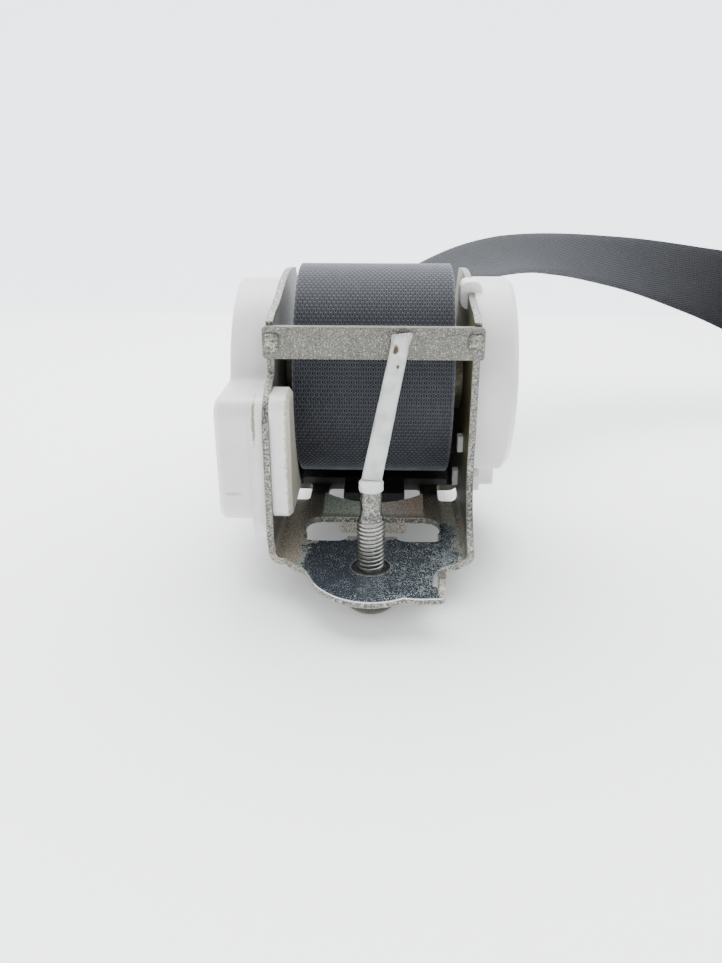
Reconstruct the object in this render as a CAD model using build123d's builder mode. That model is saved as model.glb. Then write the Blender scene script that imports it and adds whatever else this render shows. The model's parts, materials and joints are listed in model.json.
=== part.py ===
# Seat belt: a locking retractor with its mounting bolt, and the free end of its webbing
# with a tongue and a lap anchor plate.
# Millimetres. +X to the right along the spool, +Y away from the mounting tab, +Z up from the base.
# The origin is the anchor bolt's axis at the underside of the base plate.

import os
from math import cos, pi, radians, sin

from build123d import *

os.makedirs("parts", exist_ok=True)

# Webbing, and the spool that it is wound on
strap_width = 47.0
strap_thickness = 1.2
spool_y = 54.0
spool_z = 46.3
roll_radius = 33.4
web_clearance = 4.5
rear_clearance = 0.6

# Pressed steel frame, a channel as wide as the webbing and its clearance
sheet = 2.0
frame_width = strap_width + 2 * (web_clearance + sheet)
bend_radius = 2.0
frame_front = 4.0
frame_rear = spool_y + roll_radius + rear_clearance
flange_top = 76.0
bar_seat_y = 18.0
tab_radius = 19.6
bolt_hole_radius = 5.5
flange_inner = frame_width / 2 - sheet
flange_middle = frame_width / 2 - sheet / 2

# Base plate cut-outs
slot_half = 21.2
slot_front = 19.2
slot_rear = 33.0
lobe_depth = 3.2
lobe_half = 6.8
tongue_half = 11.0
tongue_drop = 3.5
lip_height = 5.8
window_front = spool_y - 7.0
window_rear = spool_y + 7.0
post_inner = 16.0
post_outer = 22.0
clip_half = 10.4
saddle_half = 16.5
saddle_rise = 2.7
saddle_arch = 5.3

# Spool
core_radius = 13.0
end_pin_radius = 1.5
journal_radius = 11.0
bar_radius = 5.0
bush_wall = 2.0
running_gap = 0.05
soft_gap = 0.3
side_gap = 0.4

# Lock side, on the left
ratchet_tip = 20.0
ratchet_root = 16.5
ratchet_teeth = 16
ratchet_width = 3.6
pilot_tip = 23.0
pilot_root = 21.2
pilot_teeth = 36
pilot_width = 3.0
pilot_rim = 2.6
pilot_rib = 1.6
pilot_web = 1.2
ratchet_gap = 0.6
wheel_gap = 0.5
cover_wall = 1.5
lock_drum_radius = 30.5
lock_cover_depth = 12.0
mechanism_depth = 4.0
cover_drop = 1.6
rim_low = 8.5
bulge_front = 4.0
bulge_rear = 40.0
bulge_low = 13.0
bulge_high = 49.5
bulge_corner = 5.0
cover_round = 1.2
junction_round = 5.0
pawl_hub = 3.5
pin_radius = 2.0
pawl_angle = 250.0
pawl_reach = 24.8

# Inertia sensor, through the left flange
cap_front = 3.4
cap_rear = 29.0
cap_low = 14.5
cap_high = 50.5
cap_corner = 4.0
cap_depth = 5.5
cap_arc = roll_radius + 5.0
window_y = 19.4
window_z = 28.0
housing_length = 22.4
housing_height = 20.0
housing_depth = 9.9
housing_inside = 2.0
sensor_bulge = 13.5
cap_bevel = 1.2
ball_radius = 5.0
ball_depth = 3.0
ball_y = 16.0
ball_z = 28.5
ball_seat = 4.3
lever_thickness = 1.4
lever_pivot = (23.6, 22.6)
lever_gap = 2.0
lever_pin_radius = 1.0

# Spring side, on the right
spring_drum_radius = 31.0
spring_cover_depth = 12.3
spring_cover_bevel = 1.6
cup_floor = 1.6
arbor_radius = 7.0
foot_inset = 4.0
foot_front = 53.0
foot_rear = 70.0
foot_low = 5.0
foot_peg_half = 4.0
hook_y = 46.0
hook_length = 8.6
hook_low = 68.0
hook_high = 76.2
hook_reach = 2.2
hook_round = 2.4
hook_gap = 0.2
dimple_radius = 1.0
cup_peg = (36.5, 27.0)
foot_peg = (47.8, 11.0)
peg_radius = 1.6
peg_head = 1.6
peg_head_size = (4.2, 5.4)
spring_turns = 7
spring_points_per_turn = 16
spring_pitch = 2.6
spring_strip = 0.6
spring_width = 6.0

# Tie bar, bolt and bolt keeper
bar_overhang = 0.8
tie_bar_length = frame_width + 2 * bar_overhang
tie_bar_height = 9.0
tie_bar_thickness = 2.5
tie_bar_z = 63.1
thread_radius = 4.0
thread_top = 17.4
pilot_tip_radius = 2.95
pilot_tip_top = 27.5
head_radius = 6.9
washer_radius = 8.3
washer_thickness = 1.6
hex_socket_radius = 3.4
socket_depth = 4.0
tenon_height = 5.4
head_bottom = -10.4
collar_radius = 3.4
collar_height = 2.9
collar_floor = 1.3
keeper_width = 4.9
keeper_thickness = 1.8
keeper_lean = 8.0
keeper_overlap = 2.6
keeper_gap = 0.4
keeper_root = 0.8

# Web guide
guide_wall = 5.0
guide_floor = 2.4
guide_slot_height = 4.2

# Tongue and lap anchor plate
plate_thickness = 2.6
tongue_width = strap_width + 15.0
grip_thickness = 11.0
blade_width = 24.0
blade_length = 38.0
blade_root = 12.0
bar_margin = 8.0
grip_front = 20.0
latch_width = 12.0
latch_length = 9.0
latch_y = 36.0
stop_radius = 5.5
stop_height = 2.4
stop_y = 88.0
anchor_width = strap_width + 11.0
anchor_eye = 14.0
anchor_reach = 32.0
anchor_hole_radius = 6.0
slot_length = strap_width + 3.0
slot_width = 4.5


def arc_point(radius, angle, centre=(spool_y, spool_z)):
    """A point in the YZ plane, at an angle from +Y towards +Z."""
    return (
        centre[0] + radius * cos(radians(angle)),
        centre[1] + radius * sin(radians(angle)),
    )


def spool_plane(x):
    """A plane across the spool's axis, with its own X along +Y."""
    return Plane((x, spool_y, spool_z), x_dir=(0, 1, 0), z_dir=(1, 0, 0))


def save(piece, name):
    piece.part.label = name
    export_step(piece.part, f"parts/{name}.step")


# Where the pieces stand along the spool
flange_outer = frame_width / 2
ratchet_end = -flange_outer - ratchet_gap
ratchet_start = ratchet_end - ratchet_width
pilot_end = ratchet_start - wheel_gap
pilot_start = pilot_end - pilot_width
bar_left = pilot_start - 1.3
lock_rim = -flange_outer - mechanism_depth
lock_face = -flange_outer - lock_cover_depth
cup_face = flange_outer + cup_floor
spring_face = flange_outer + spring_cover_depth
arbor_start = cup_face + 0.5
arbor_end = spring_face - cover_wall - 0.6
bar_right = arbor_end - 1.0
ball_x = -flange_outer - ball_depth

# The webbing leaves the roll at its lower rear and passes the guide's slot
exit_angle = -45.0
exit_radius = roll_radius + soft_gap + strap_thickness / 2
exit_y, exit_z = arc_point(exit_radius, exit_angle)
guide_front = frame_rear + soft_gap
guide_slot_y = guide_front + guide_wall / 2
guide_slot_z = exit_z + (guide_slot_y - exit_y)

# Frame: the front edges of its flanges sweep back from the base to the tie bar's seat
bar_high = tie_bar_z + tie_bar_height / 2
right_foot = [(frame_front, 0), (frame_front, 5.0)]
left_foot = right_foot + [(2.6, 9.0)]
right_sweep = [(8.5, 7.0), (13.2, 11.5), (16.6, 17.0), (bar_seat_y + 0.4, 25.0), (bar_seat_y, 34.0)]
left_sweep = [(2.6, 41.0), (3.6, 45.2), (6.8, 49.2), (11.8, 51.8), (bar_seat_y, 54.5)]
window_middle = (window_front + window_rear) / 2
window_length = window_rear - window_front
outer_window = flange_outer - post_outer + 1.0
outer_window_x = post_outer + outer_window / 2
pawl_pivot = arc_point(pawl_reach, pawl_angle)
saddle_hollow = (saddle_half**2 + saddle_arch**2) / (2 * saddle_arch)
with BuildPart() as frame:
    for flange_start, foot_points, sweep in (
        (flange_inner, right_foot, right_sweep),
        (-flange_outer, left_foot, left_sweep),
    ):
        with BuildSketch(Plane.YZ.offset(flange_start)):
            with BuildLine():
                foot = Polyline(*foot_points, sweep[0])
                front = Spline(*sweep)
                seat = Polyline(front @ 1, (bar_seat_y, bar_high + 1.0), (bar_seat_y + 6.5, bar_high + 2.6))
                top = Spline(
                    seat @ 1,
                    (spool_y - 14.0, flange_top - 3.5),
                    (spool_y + 2.0, flange_top),
                    (frame_rear - 9.0, flange_top - 0.5),
                    tangents=[(1, 0.05), (1, -0.1)],
                )
                Polyline(top @ 1, (frame_rear, flange_top - 9.5), (frame_rear, 0), foot @ 0)
            make_face()
        extrude(amount=sheet)
    with BuildSketch():
        with Locations((0, (frame_front + frame_rear) / 2)):
            Rectangle(frame_width, frame_rear - frame_front)
    extrude(amount=sheet)
    folds = frame.edges().filter_by(Axis.Y)
    fillet([e for e in folds if abs(e.center().Z) < 0.1 and abs(e.center().X) > flange_outer - 0.1],
           bend_radius + sheet)
    folds = frame.edges().filter_by(Axis.Y)
    fillet([e for e in folds
            if abs(e.center().Z - sheet) < 0.1 and abs(abs(e.center().X) - flange_inner) < 0.1],
           bend_radius)
    # Mounting tab with its blended left side and its turned-up lip at the right
    with BuildSketch():
        with BuildLine():
            left_blend = Spline(
                (-25.0, frame_front + 3.0), (-23.0, 1.2), (-19.8, -1.3), (-16.6, -7.4), (-12.7, -13.7)
            )
            nose = ThreePointArc(left_blend @ 1, (-1.0, -tab_radius), (9.0, -16.9))
            lip_line = Polyline(
                nose @ 1, (13.4, -17.4), (19.2, -17.0), (20.4, -15.8), (20.4, -12.4), (17.2, -10.8)
            )
            right_blend = Spline(lip_line @ 1, (17.7, -6.2), (19.4, -1.4), (22.9, 1.6), (26.0, 2.6))
            Polyline(right_blend @ 1, (26.0, frame_front + 3.0), left_blend @ 0)
        make_face()
    extrude(amount=sheet)
    with BuildSketch(Plane.XY.offset(sheet)):
        with Locations((19.4, -14.6)):
            RectangleRounded(2.0, 4.4, 0.8)
    extrude(amount=lip_height)
    # Bolt hole, base slot with a lobe at each end, and the rear window up to the saddle
    with BuildSketch():
        Circle(bolt_hole_radius)
        with Locations((0, (slot_front + slot_rear) / 2)):
            RectangleRounded(2 * slot_half, slot_rear - slot_front, 5.0)
        with Locations((lobe_half - slot_half, slot_front), (slot_half - lobe_half, slot_front)):
            RectangleRounded(2 * lobe_half, 2 * lobe_depth, lobe_depth - 0.1)
        with Locations((0, window_middle)):
            RectangleRounded(2 * post_inner, window_length, 1.5)
        with Locations((0, (slot_rear + sheet + window_middle) / 2)):
            Rectangle(2 * saddle_half, window_middle - slot_rear - sheet)
    extrude(amount=sheet, mode=Mode.SUBTRACT)
    with BuildSketch():
        with Locations((-outer_window_x, window_middle), (outer_window_x, window_middle)):
            RectangleRounded(outer_window, window_length, 1.5)
    extrude(amount=sheet + bend_radius + 1.0, mode=Mode.SUBTRACT)
    # Saddle pressed up behind the slot, with its rear edge hollowed between two ears
    with BuildSketch(Plane.YZ.offset(-saddle_half)):
        with BuildLine():
            Polyline(
                (slot_rear, 0),
                (slot_rear, sheet),
                (slot_rear + sheet, sheet),
                (window_front, sheet + saddle_rise),
                (window_front, saddle_rise),
                (slot_rear + sheet, 0),
                close=True,
            )
        make_face()
    extrude(amount=2 * saddle_half)
    with BuildSketch():
        with Locations((0, window_front - saddle_arch + saddle_hollow)):
            Circle(saddle_hollow)
        with Locations((0, window_front - saddle_arch)):
            Rectangle(2 * saddle_half, 2 * saddle_arch, mode=Mode.INTERSECT)
    extrude(amount=sheet + saddle_rise, mode=Mode.SUBTRACT)
    # Locating tongue bent down from the slot's rear edge
    with BuildSketch(Plane.XZ.offset(-slot_rear)):
        with Locations((0, (sheet - tongue_drop) / 2)):
            RectangleRounded(2 * tongue_half, sheet + tongue_drop, 1.2)
    extrude(amount=-sheet)
    # Openings for the spool, the sensor and the pawl's pin in the left flange
    with BuildSketch(spool_plane(-flange_outer)):
        Circle(journal_radius + running_gap + bush_wall)
        with Locations((window_y - spool_y, window_z - spool_z)):
            RectangleRounded(housing_length + 1.0, housing_height + 1.0, 2.0)
        with Locations((pawl_pivot[0] - spool_y, pawl_pivot[1] - spool_z)):
            Circle(pin_radius + 0.01)
    extrude(amount=sheet, mode=Mode.SUBTRACT)
    # Openings for the torsion bar, the covers' snap pegs and the hook in the right flange
    with BuildSketch(spool_plane(flange_inner)):
        Circle(bar_radius + running_gap + bush_wall)
        with Locations(*[(y - spool_y, z - spool_z) for y, z in (cup_peg, foot_peg)]):
            Circle(peg_radius + 0.05)
        with Locations((hook_y - spool_y, hook_high - spool_z)):
            Rectangle(hook_length + 2 * hook_gap, 2 * (hook_high - hook_low + hook_gap))
    extrude(amount=sheet, mode=Mode.SUBTRACT)
    # Tenons with peened heads, which carry the tie bar
    with BuildSketch(Plane.XZ.offset(-bar_seat_y)):
        with Locations((-flange_middle, tie_bar_z), (flange_middle, tie_bar_z)):
            Rectangle(sheet, tenon_height)
    extrude(amount=tie_bar_thickness)
    with BuildSketch(Plane.XZ.offset(-bar_seat_y + tie_bar_thickness)):
        with Locations((-flange_middle + 0.6, tie_bar_z), (flange_middle - 0.6, tie_bar_z)):
            RectangleRounded(4.4, tenon_height, 1.2)
    extrude(amount=0.7)
save(frame, "frame")

# Tie bar
with BuildPart() as tie_bar:
    with BuildSketch(Plane.XZ.offset(-bar_seat_y)):
        with Locations((0, tie_bar_z)):
            RectangleRounded(tie_bar_length, tie_bar_height, 1.0)
        with Locations((-flange_middle, tie_bar_z), (flange_middle, tie_bar_z)):
            Rectangle(sheet, tenon_height, mode=Mode.SUBTRACT)
    extrude(amount=tie_bar_thickness)
save(tie_bar, "tie_bar")

# Anchor bolt, with its head under the base and its pilot tip up
shank_radius = bolt_hole_radius - 0.2
with BuildPart() as anchor_bolt:
    with BuildSketch(Plane.XZ):
        with BuildLine():
            Polyline(
                (0, head_bottom),
                (head_radius - 2.2, head_bottom),
                (head_radius, head_bottom + 2.2),
                (head_radius, -washer_thickness),
                (washer_radius, -washer_thickness),
                (washer_radius, 0),
                (shank_radius, 0),
                (shank_radius, sheet - 0.3),
                (thread_radius, sheet + 0.2),
                (thread_radius, thread_top),
                (pilot_tip_radius, thread_top + 2.0),
                (pilot_tip_radius, pilot_tip_top - 1.0),
                (pilot_tip_radius - 1.0, pilot_tip_top),
                (0, pilot_tip_top),
                (0, head_bottom),
            )
        make_face()
    revolve(axis=Axis.Z)
    with BuildSketch(Plane.XY.offset(head_bottom)):
        RegularPolygon(hex_socket_radius, 6)
    extrude(amount=socket_depth, mode=Mode.SUBTRACT)
save(anchor_bolt, "anchor_bolt")

# Bolt keeper: a collar on the bolt's tip and a strip that leans on the tie bar
collar_low = pilot_tip_top + collar_floor - collar_height
bar_face = bar_seat_y - tie_bar_thickness
strip_start = Vector(0, 0, pilot_tip_top + keeper_root)
strip_end = Vector(keeper_lean, bar_face - keeper_thickness / 2 - keeper_gap, tie_bar_z + keeper_overlap)
strip_line = strip_end - strip_start
with BuildPart() as bolt_keeper:
    with BuildSketch(Plane.XY.offset(collar_low)):
        Circle(collar_radius)
    extrude(amount=collar_height)
    with BuildSketch(Plane.XY.offset(collar_low)):
        Circle(pilot_tip_radius + 0.01)
    extrude(amount=pilot_tip_top - collar_low, mode=Mode.SUBTRACT)
    with BuildSketch(Plane(strip_start, x_dir=(strip_line.Z, 0, -strip_line.X), z_dir=strip_line)):
        RectangleRounded(keeper_width, keeper_thickness, 0.6)
    extrude(amount=strip_line.length)
save(bolt_keeper, "bolt_keeper")

# Spool core with its journal in the left flange, and the groove for the webbing's inner end
core_half = flange_inner - side_gap
with BuildPart() as spool_core:
    with BuildSketch(spool_plane(-core_half)):
        Circle(core_radius)
    extrude(amount=2 * core_half)
    with BuildSketch(spool_plane(-flange_outer - ratchet_gap + 0.1)):
        Circle(journal_radius)
    extrude(amount=sheet + ratchet_gap + side_gap)
    with BuildSketch(spool_plane(-frame_width)):
        Circle(bar_radius + 0.02)
    extrude(amount=2 * frame_width, mode=Mode.SUBTRACT)
    with BuildSketch(spool_plane(-strap_width / 2)):
        with Locations((0, core_radius - 3.0)):
            Circle(end_pin_radius + 0.02)
    extrude(amount=strap_width, mode=Mode.SUBTRACT)
save(spool_core, "spool_core")

# Pin in the webbing's inner end
with BuildPart() as web_end_pin:
    with BuildSketch(spool_plane(-strap_width / 2)):
        with Locations((0, core_radius - 3.0)):
            Circle(end_pin_radius)
    extrude(amount=strap_width)
save(web_end_pin, "web_end_pin")

# Rings and discs about the spool's axis: name, start, depth, outer radius, inner radius
left_bore = journal_radius + running_gap
right_bore = bar_radius + running_gap
rings = (
    ("web_roll", -strap_width / 2, strap_width, roll_radius, core_radius + 0.02),
    ("left_bush", -flange_outer, sheet, left_bore + bush_wall - 0.02, left_bore),
    ("right_bush", flange_inner, sheet, right_bore + bush_wall - 0.02, right_bore),
    ("spring_arbor", arbor_start, arbor_end - arbor_start, arbor_radius, bar_radius + 0.02),
)
for name, start, depth, outer, inner in rings:
    with BuildPart() as piece:
        with BuildSketch(spool_plane(start)):
            Circle(outer)
            Circle(inner, mode=Mode.SUBTRACT)
        extrude(amount=depth)
    save(piece, name)

# Torsion bar through the spool, with a head that keeps the pilot wheel on
with BuildPart() as torsion_bar:
    with BuildSketch(spool_plane(bar_left)):
        Circle(bar_radius + 1.5)
    extrude(amount=pilot_start - 0.2 - bar_left)
    with BuildSketch(spool_plane(bar_left)):
        Circle(bar_radius)
    extrude(amount=bar_right - bar_left)
save(torsion_bar, "torsion_bar")


def sawtooth(tip, root, teeth, phase, lean):
    """Points of a sawtooth wheel; lean is the steep side's share of one tooth."""
    points = []
    for tooth in range(teeth):
        start = radians(phase + 360.0 * tooth / teeth)
        low = start + lean * 2 * pi / teeth
        points += [(tip * cos(start), tip * sin(start)), (root * cos(low), root * sin(low))]
    return points


# Ratchet wheel on the torsion bar, with one of its gaps in front of the pawl's nose
nose_angle = pawl_angle + 29.6
with BuildPart() as ratchet_wheel:
    with BuildSketch(spool_plane(ratchet_start)):
        with BuildLine():
            Polyline(*sawtooth(ratchet_tip, ratchet_root, ratchet_teeth, nose_angle - 6.5, 0.2), close=True)
        make_face()
        Circle(bar_radius + 0.02, mode=Mode.SUBTRACT)
    extrude(amount=ratchet_width)
save(ratchet_wheel, "ratchet_wheel")

# Lock pawl beside the ratchet wheel, and the pin in the left flange that it swings on
nose = arc_point(ratchet_tip + 0.8, nose_angle + 0.4)
with BuildPart() as lock_pawl:
    with BuildSketch(Plane.YZ.offset(ratchet_start + 0.1)):
        with Locations(pawl_pivot):
            Circle(pawl_hub)
        with BuildLine():
            Polyline(
                (pawl_pivot[0] - 0.5, pawl_pivot[1] + 2.5),
                (pawl_pivot[0] + 3.5, pawl_pivot[1] + 1.0),
                (nose[0] - 2.6, nose[1] - 2.4),
                nose,
                (nose[0] + 1.0, nose[1] - 3.4),
                (nose[0] - 5.6, nose[1] - 5.6),
                (pawl_pivot[0] + 0.5, pawl_pivot[1] - 3.2),
                close=True,
            )
        make_face()
        with Locations(pawl_pivot):
            Circle(pin_radius + running_gap, mode=Mode.SUBTRACT)
    extrude(amount=ratchet_width - 0.2)
save(lock_pawl, "lock_pawl")
with BuildPart() as pawl_pin:
    with BuildSketch(Plane.YZ.offset(-flange_inner)):
        with Locations(pawl_pivot):
            Circle(pin_radius)
    extrude(amount=-(-flange_inner - ratchet_start) - 0.4)
    with BuildSketch(Plane.YZ.offset(ratchet_start - 0.4)):
        with Locations(pawl_pivot):
            Circle(pin_radius + 0.8)
    extrude(amount=0.4)
save(pawl_pin, "pawl_pin")

# Pilot wheel, free to turn a little on the torsion bar
lever_angle = 187.6
with BuildPart() as pilot_wheel:
    with BuildSketch(spool_plane(pilot_start)):
        with BuildLine():
            Polyline(*sawtooth(pilot_tip, pilot_root, pilot_teeth, lever_angle - 1.2, 0.2), close=True)
        make_face()
        Circle(bar_radius + running_gap, mode=Mode.SUBTRACT)
    extrude(amount=pilot_width)
    # Pockets between the hub, the rim and the four ribs
    with BuildSketch(spool_plane(pilot_start)):
        Circle(pilot_root - pilot_rim)
        Circle(bar_radius + pilot_rim, mode=Mode.SUBTRACT)
        with PolarLocations(0, 2):
            Rectangle(2 * pilot_tip, pilot_rib, mode=Mode.SUBTRACT)
            Rectangle(pilot_rib, 2 * pilot_tip, mode=Mode.SUBTRACT)
    extrude(amount=pilot_width - pilot_web, mode=Mode.SUBTRACT)
save(pilot_wheel, "pilot_wheel")


def cover_outline(wall, low):
    """The lock side's outline in the YZ plane: the drum joined to the sensor's bulge."""
    outline = BuildSketch(Plane.XY)
    with outline:
        with Locations((0, -cover_drop)):
            Circle(lock_drum_radius)
        with Locations(((bulge_front + bulge_rear) / 2 - spool_y, (low + bulge_high) / 2 - spool_z)):
            RectangleRounded(bulge_rear - bulge_front, bulge_high - low, bulge_corner)
        with Locations(((bulge_rear + spool_y) / 2 - spool_y, (low + spool_z) / 2 - spool_z)):
            RectangleRounded(spool_y - bulge_rear + 2 * bulge_corner, spool_z - low - 6.0, bulge_corner)
        offset(amount=junction_round)
        offset(amount=-junction_round - wall)
    return outline.sketch


# Mechanism plate: the rim that stands on the left flange, under the lock cover
with BuildPart() as mechanism_plate:
    with BuildSketch(spool_plane(lock_rim)):
        add(cover_outline(0.0, rim_low))
        add(cover_outline(cover_wall, rim_low), mode=Mode.SUBTRACT)
    extrude(amount=mechanism_depth)
save(mechanism_plate, "mechanism_plate")

# Lock cover, with its drum and the deeper bulge over the sensor
bulge_middle = ((bulge_front + bulge_rear) / 2 - spool_y, (bulge_low + bulge_high) / 2 - spool_z)
bulge_size = (bulge_rear - bulge_front, bulge_high - bulge_low)
with BuildPart() as lock_cover:
    with BuildSketch(spool_plane(lock_face)):
        add(cover_outline(0.0, bulge_low))
    extrude(amount=lock_rim - lock_face)
    with BuildSketch(spool_plane(-flange_outer - sensor_bulge)):
        with Locations(bulge_middle):
            RectangleRounded(*bulge_size, bulge_corner)
    extrude(amount=sensor_bulge - mechanism_depth)
    chamfer(lock_cover.faces().filter_by(Axis.X).sort_by(Axis.X)[0].edges(), cover_round)
    with BuildSketch(spool_plane(lock_face + cover_wall)):
        add(cover_outline(cover_wall, bulge_low))
    extrude(amount=lock_rim - lock_face - cover_wall, mode=Mode.SUBTRACT)
    with BuildSketch(spool_plane(-flange_outer - sensor_bulge + cover_wall)):
        with Locations(bulge_middle):
            RectangleRounded(*[side - 2 * cover_wall for side in bulge_size], bulge_corner - 1.0)
    extrude(amount=sensor_bulge - mechanism_depth - cover_wall, mode=Mode.SUBTRACT)
save(lock_cover, "lock_cover")

# Inertia sensor: an open housing through the left flange, its ball, its lever and their pin
housing_start = -flange_outer - housing_depth
housing_end = -flange_inner + housing_inside
housing_front = window_y - housing_length / 2
with BuildPart() as sensor_housing:
    with BuildSketch(Plane.YZ.offset(housing_start)):
        with Locations((window_y, window_z)):
            RectangleRounded(housing_length, housing_height, 1.5)
    extrude(amount=housing_end - housing_start)
    with BuildSketch(Plane.YZ.offset(housing_start + cover_wall)):
        with Locations((window_y, window_z + cover_wall)):
            Rectangle(housing_length - 2 * cover_wall, housing_height)
    extrude(amount=housing_end - housing_start - 2 * cover_wall, mode=Mode.SUBTRACT)
    # Seat that the ball lies in, on the side that is the bottom in the car
    with BuildSketch(Plane.XZ.offset(-housing_front - cover_wall)):
        with Locations((ball_x, ball_z)):
            Circle(ball_radius - 0.6)
            Circle(ball_radius - 2.2, mode=Mode.SUBTRACT)
    extrude(amount=-(ball_y - housing_front - cover_wall - ball_seat))
    with BuildSketch(Plane.YZ.offset(housing_start - 1.0)):
        with Locations(lever_pivot):
            Circle(lever_pin_radius + 0.01)
    extrude(amount=housing_end - housing_start + 2.0, mode=Mode.SUBTRACT)
save(sensor_housing, "sensor_housing")
with BuildPart() as sensor_ball:
    with Locations((ball_x, ball_y, ball_z)):
        Sphere(ball_radius)
save(sensor_ball, "sensor_ball")
lever_back = ball_y + ball_radius + 0.1
lever_tip = arc_point(pilot_tip + lever_gap, lever_angle)
with BuildPart() as sensor_lever:
    with BuildSketch(Plane.YZ.offset(pilot_start + 0.4)):
        with Locations(lever_pivot):
            Circle(lever_pin_radius + 1.3)
        with BuildLine():
            Polyline(
                (lever_back, lever_pivot[1] - 1.0),
                (lever_back, lever_tip[1] - 4.0),
                (lever_tip[0] - 3.0, lever_tip[1] + 0.6),
                (lever_tip[0], lever_tip[1] + 0.4),
                (lever_tip[0], lever_tip[1] - 0.5),
                (lever_tip[0] - 2.2, lever_tip[1] - 1.0),
                (lever_back + lever_thickness, lever_tip[1] - 4.6),
                (lever_back + lever_thickness, lever_pivot[1] - 1.0),
                close=True,
            )
        make_face()
        with Locations(lever_pivot):
            Circle(lever_pin_radius + running_gap, mode=Mode.SUBTRACT)
    extrude(amount=pilot_width - 0.8)
    # Dished pad that lies on the ball
    with BuildSketch(Plane.XZ.offset(-lever_back)):
        with Locations((ball_x - 0.5, ball_z)):
            Rectangle(7.0, 7.0)
    extrude(amount=-lever_thickness)
save(sensor_lever, "sensor_lever")
with BuildPart() as lever_pin:
    with BuildSketch(Plane.YZ.offset(housing_start + 0.2)):
        with Locations(lever_pivot):
            Circle(lever_pin_radius)
    extrude(amount=housing_end - housing_start - 0.4)
save(lever_pin, "lever_pin")

# Sensor cap on the inside of the left flange
with BuildPart() as sensor_cap:
    with BuildSketch(Plane.YZ.offset(-flange_inner)):
        with Locations(((cap_front + cap_rear) / 2, (cap_low + cap_high) / 2)):
            RectangleRounded(cap_rear - cap_front, cap_high - cap_low, cap_corner)
        with Locations((spool_y, spool_z)):
            Circle(cap_arc, mode=Mode.SUBTRACT)
    extrude(amount=cap_depth)
    chamfer(sensor_cap.faces().sort_by(Axis.X)[-1].edges(), cap_bevel)
    with BuildSketch(Plane.YZ.offset(-flange_inner)):
        with Locations((window_y, window_z)):
            Rectangle(housing_length + 1.0, housing_height + 1.0)
    extrude(amount=housing_inside + 0.4, mode=Mode.SUBTRACT)
save(sensor_cap, "sensor_cap")

# Spring cup on the right flange, with the snap pegs that hold it
with BuildPart() as spring_cup:
    with BuildSketch(spool_plane(flange_outer)):
        with Locations((0, -cover_drop)):
            Circle(spring_drum_radius - cover_wall - 0.1)
        Circle(bar_radius + 1.5, mode=Mode.SUBTRACT)
        with Locations((hook_y - spool_y, hook_high - spool_z)):
            Rectangle(hook_length + 2 * hook_gap, 2 * (hook_high - hook_low + hook_gap), mode=Mode.SUBTRACT)
    extrude(amount=cup_floor)
    with BuildSketch(Plane.YZ.offset(flange_inner)):
        with Locations(cup_peg):
            Circle(peg_radius)
    extrude(amount=sheet)
    with BuildSketch(Plane.YZ.offset(flange_inner)):
        with Locations(cup_peg):
            RectangleRounded(*peg_head_size, 0.8)
    extrude(amount=-peg_head)
save(spring_cup, "spring_cup")

# Mainspring, wound from the arbor out to the cover
spring_start = arbor_radius + 0.4


def spiral_point(step, side):
    """A point of the spiral, this many steps out from the arbor, on its inner or outer side."""
    angle = 2 * pi * step / spring_points_per_turn
    radius = spring_start + spring_pitch * step / spring_points_per_turn + side
    return (radius * cos(angle), radius * sin(angle))


spiral_steps = range(spring_turns * spring_points_per_turn + 1)
with BuildPart() as mainspring:
    with BuildSketch(spool_plane((cup_face + spring_face - cover_wall - spring_width) / 2)):
        with BuildLine():
            inner_side = Polyline(*[spiral_point(step, 0) for step in spiral_steps])
            outer_side = Polyline(*[spiral_point(step, spring_strip) for step in spiral_steps])
            Line(inner_side @ 0, outer_side @ 0)
            Line(inner_side @ 1, outer_side @ 1)
        make_face()
    extrude(amount=spring_width)
save(mainspring, "mainspring")

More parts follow.
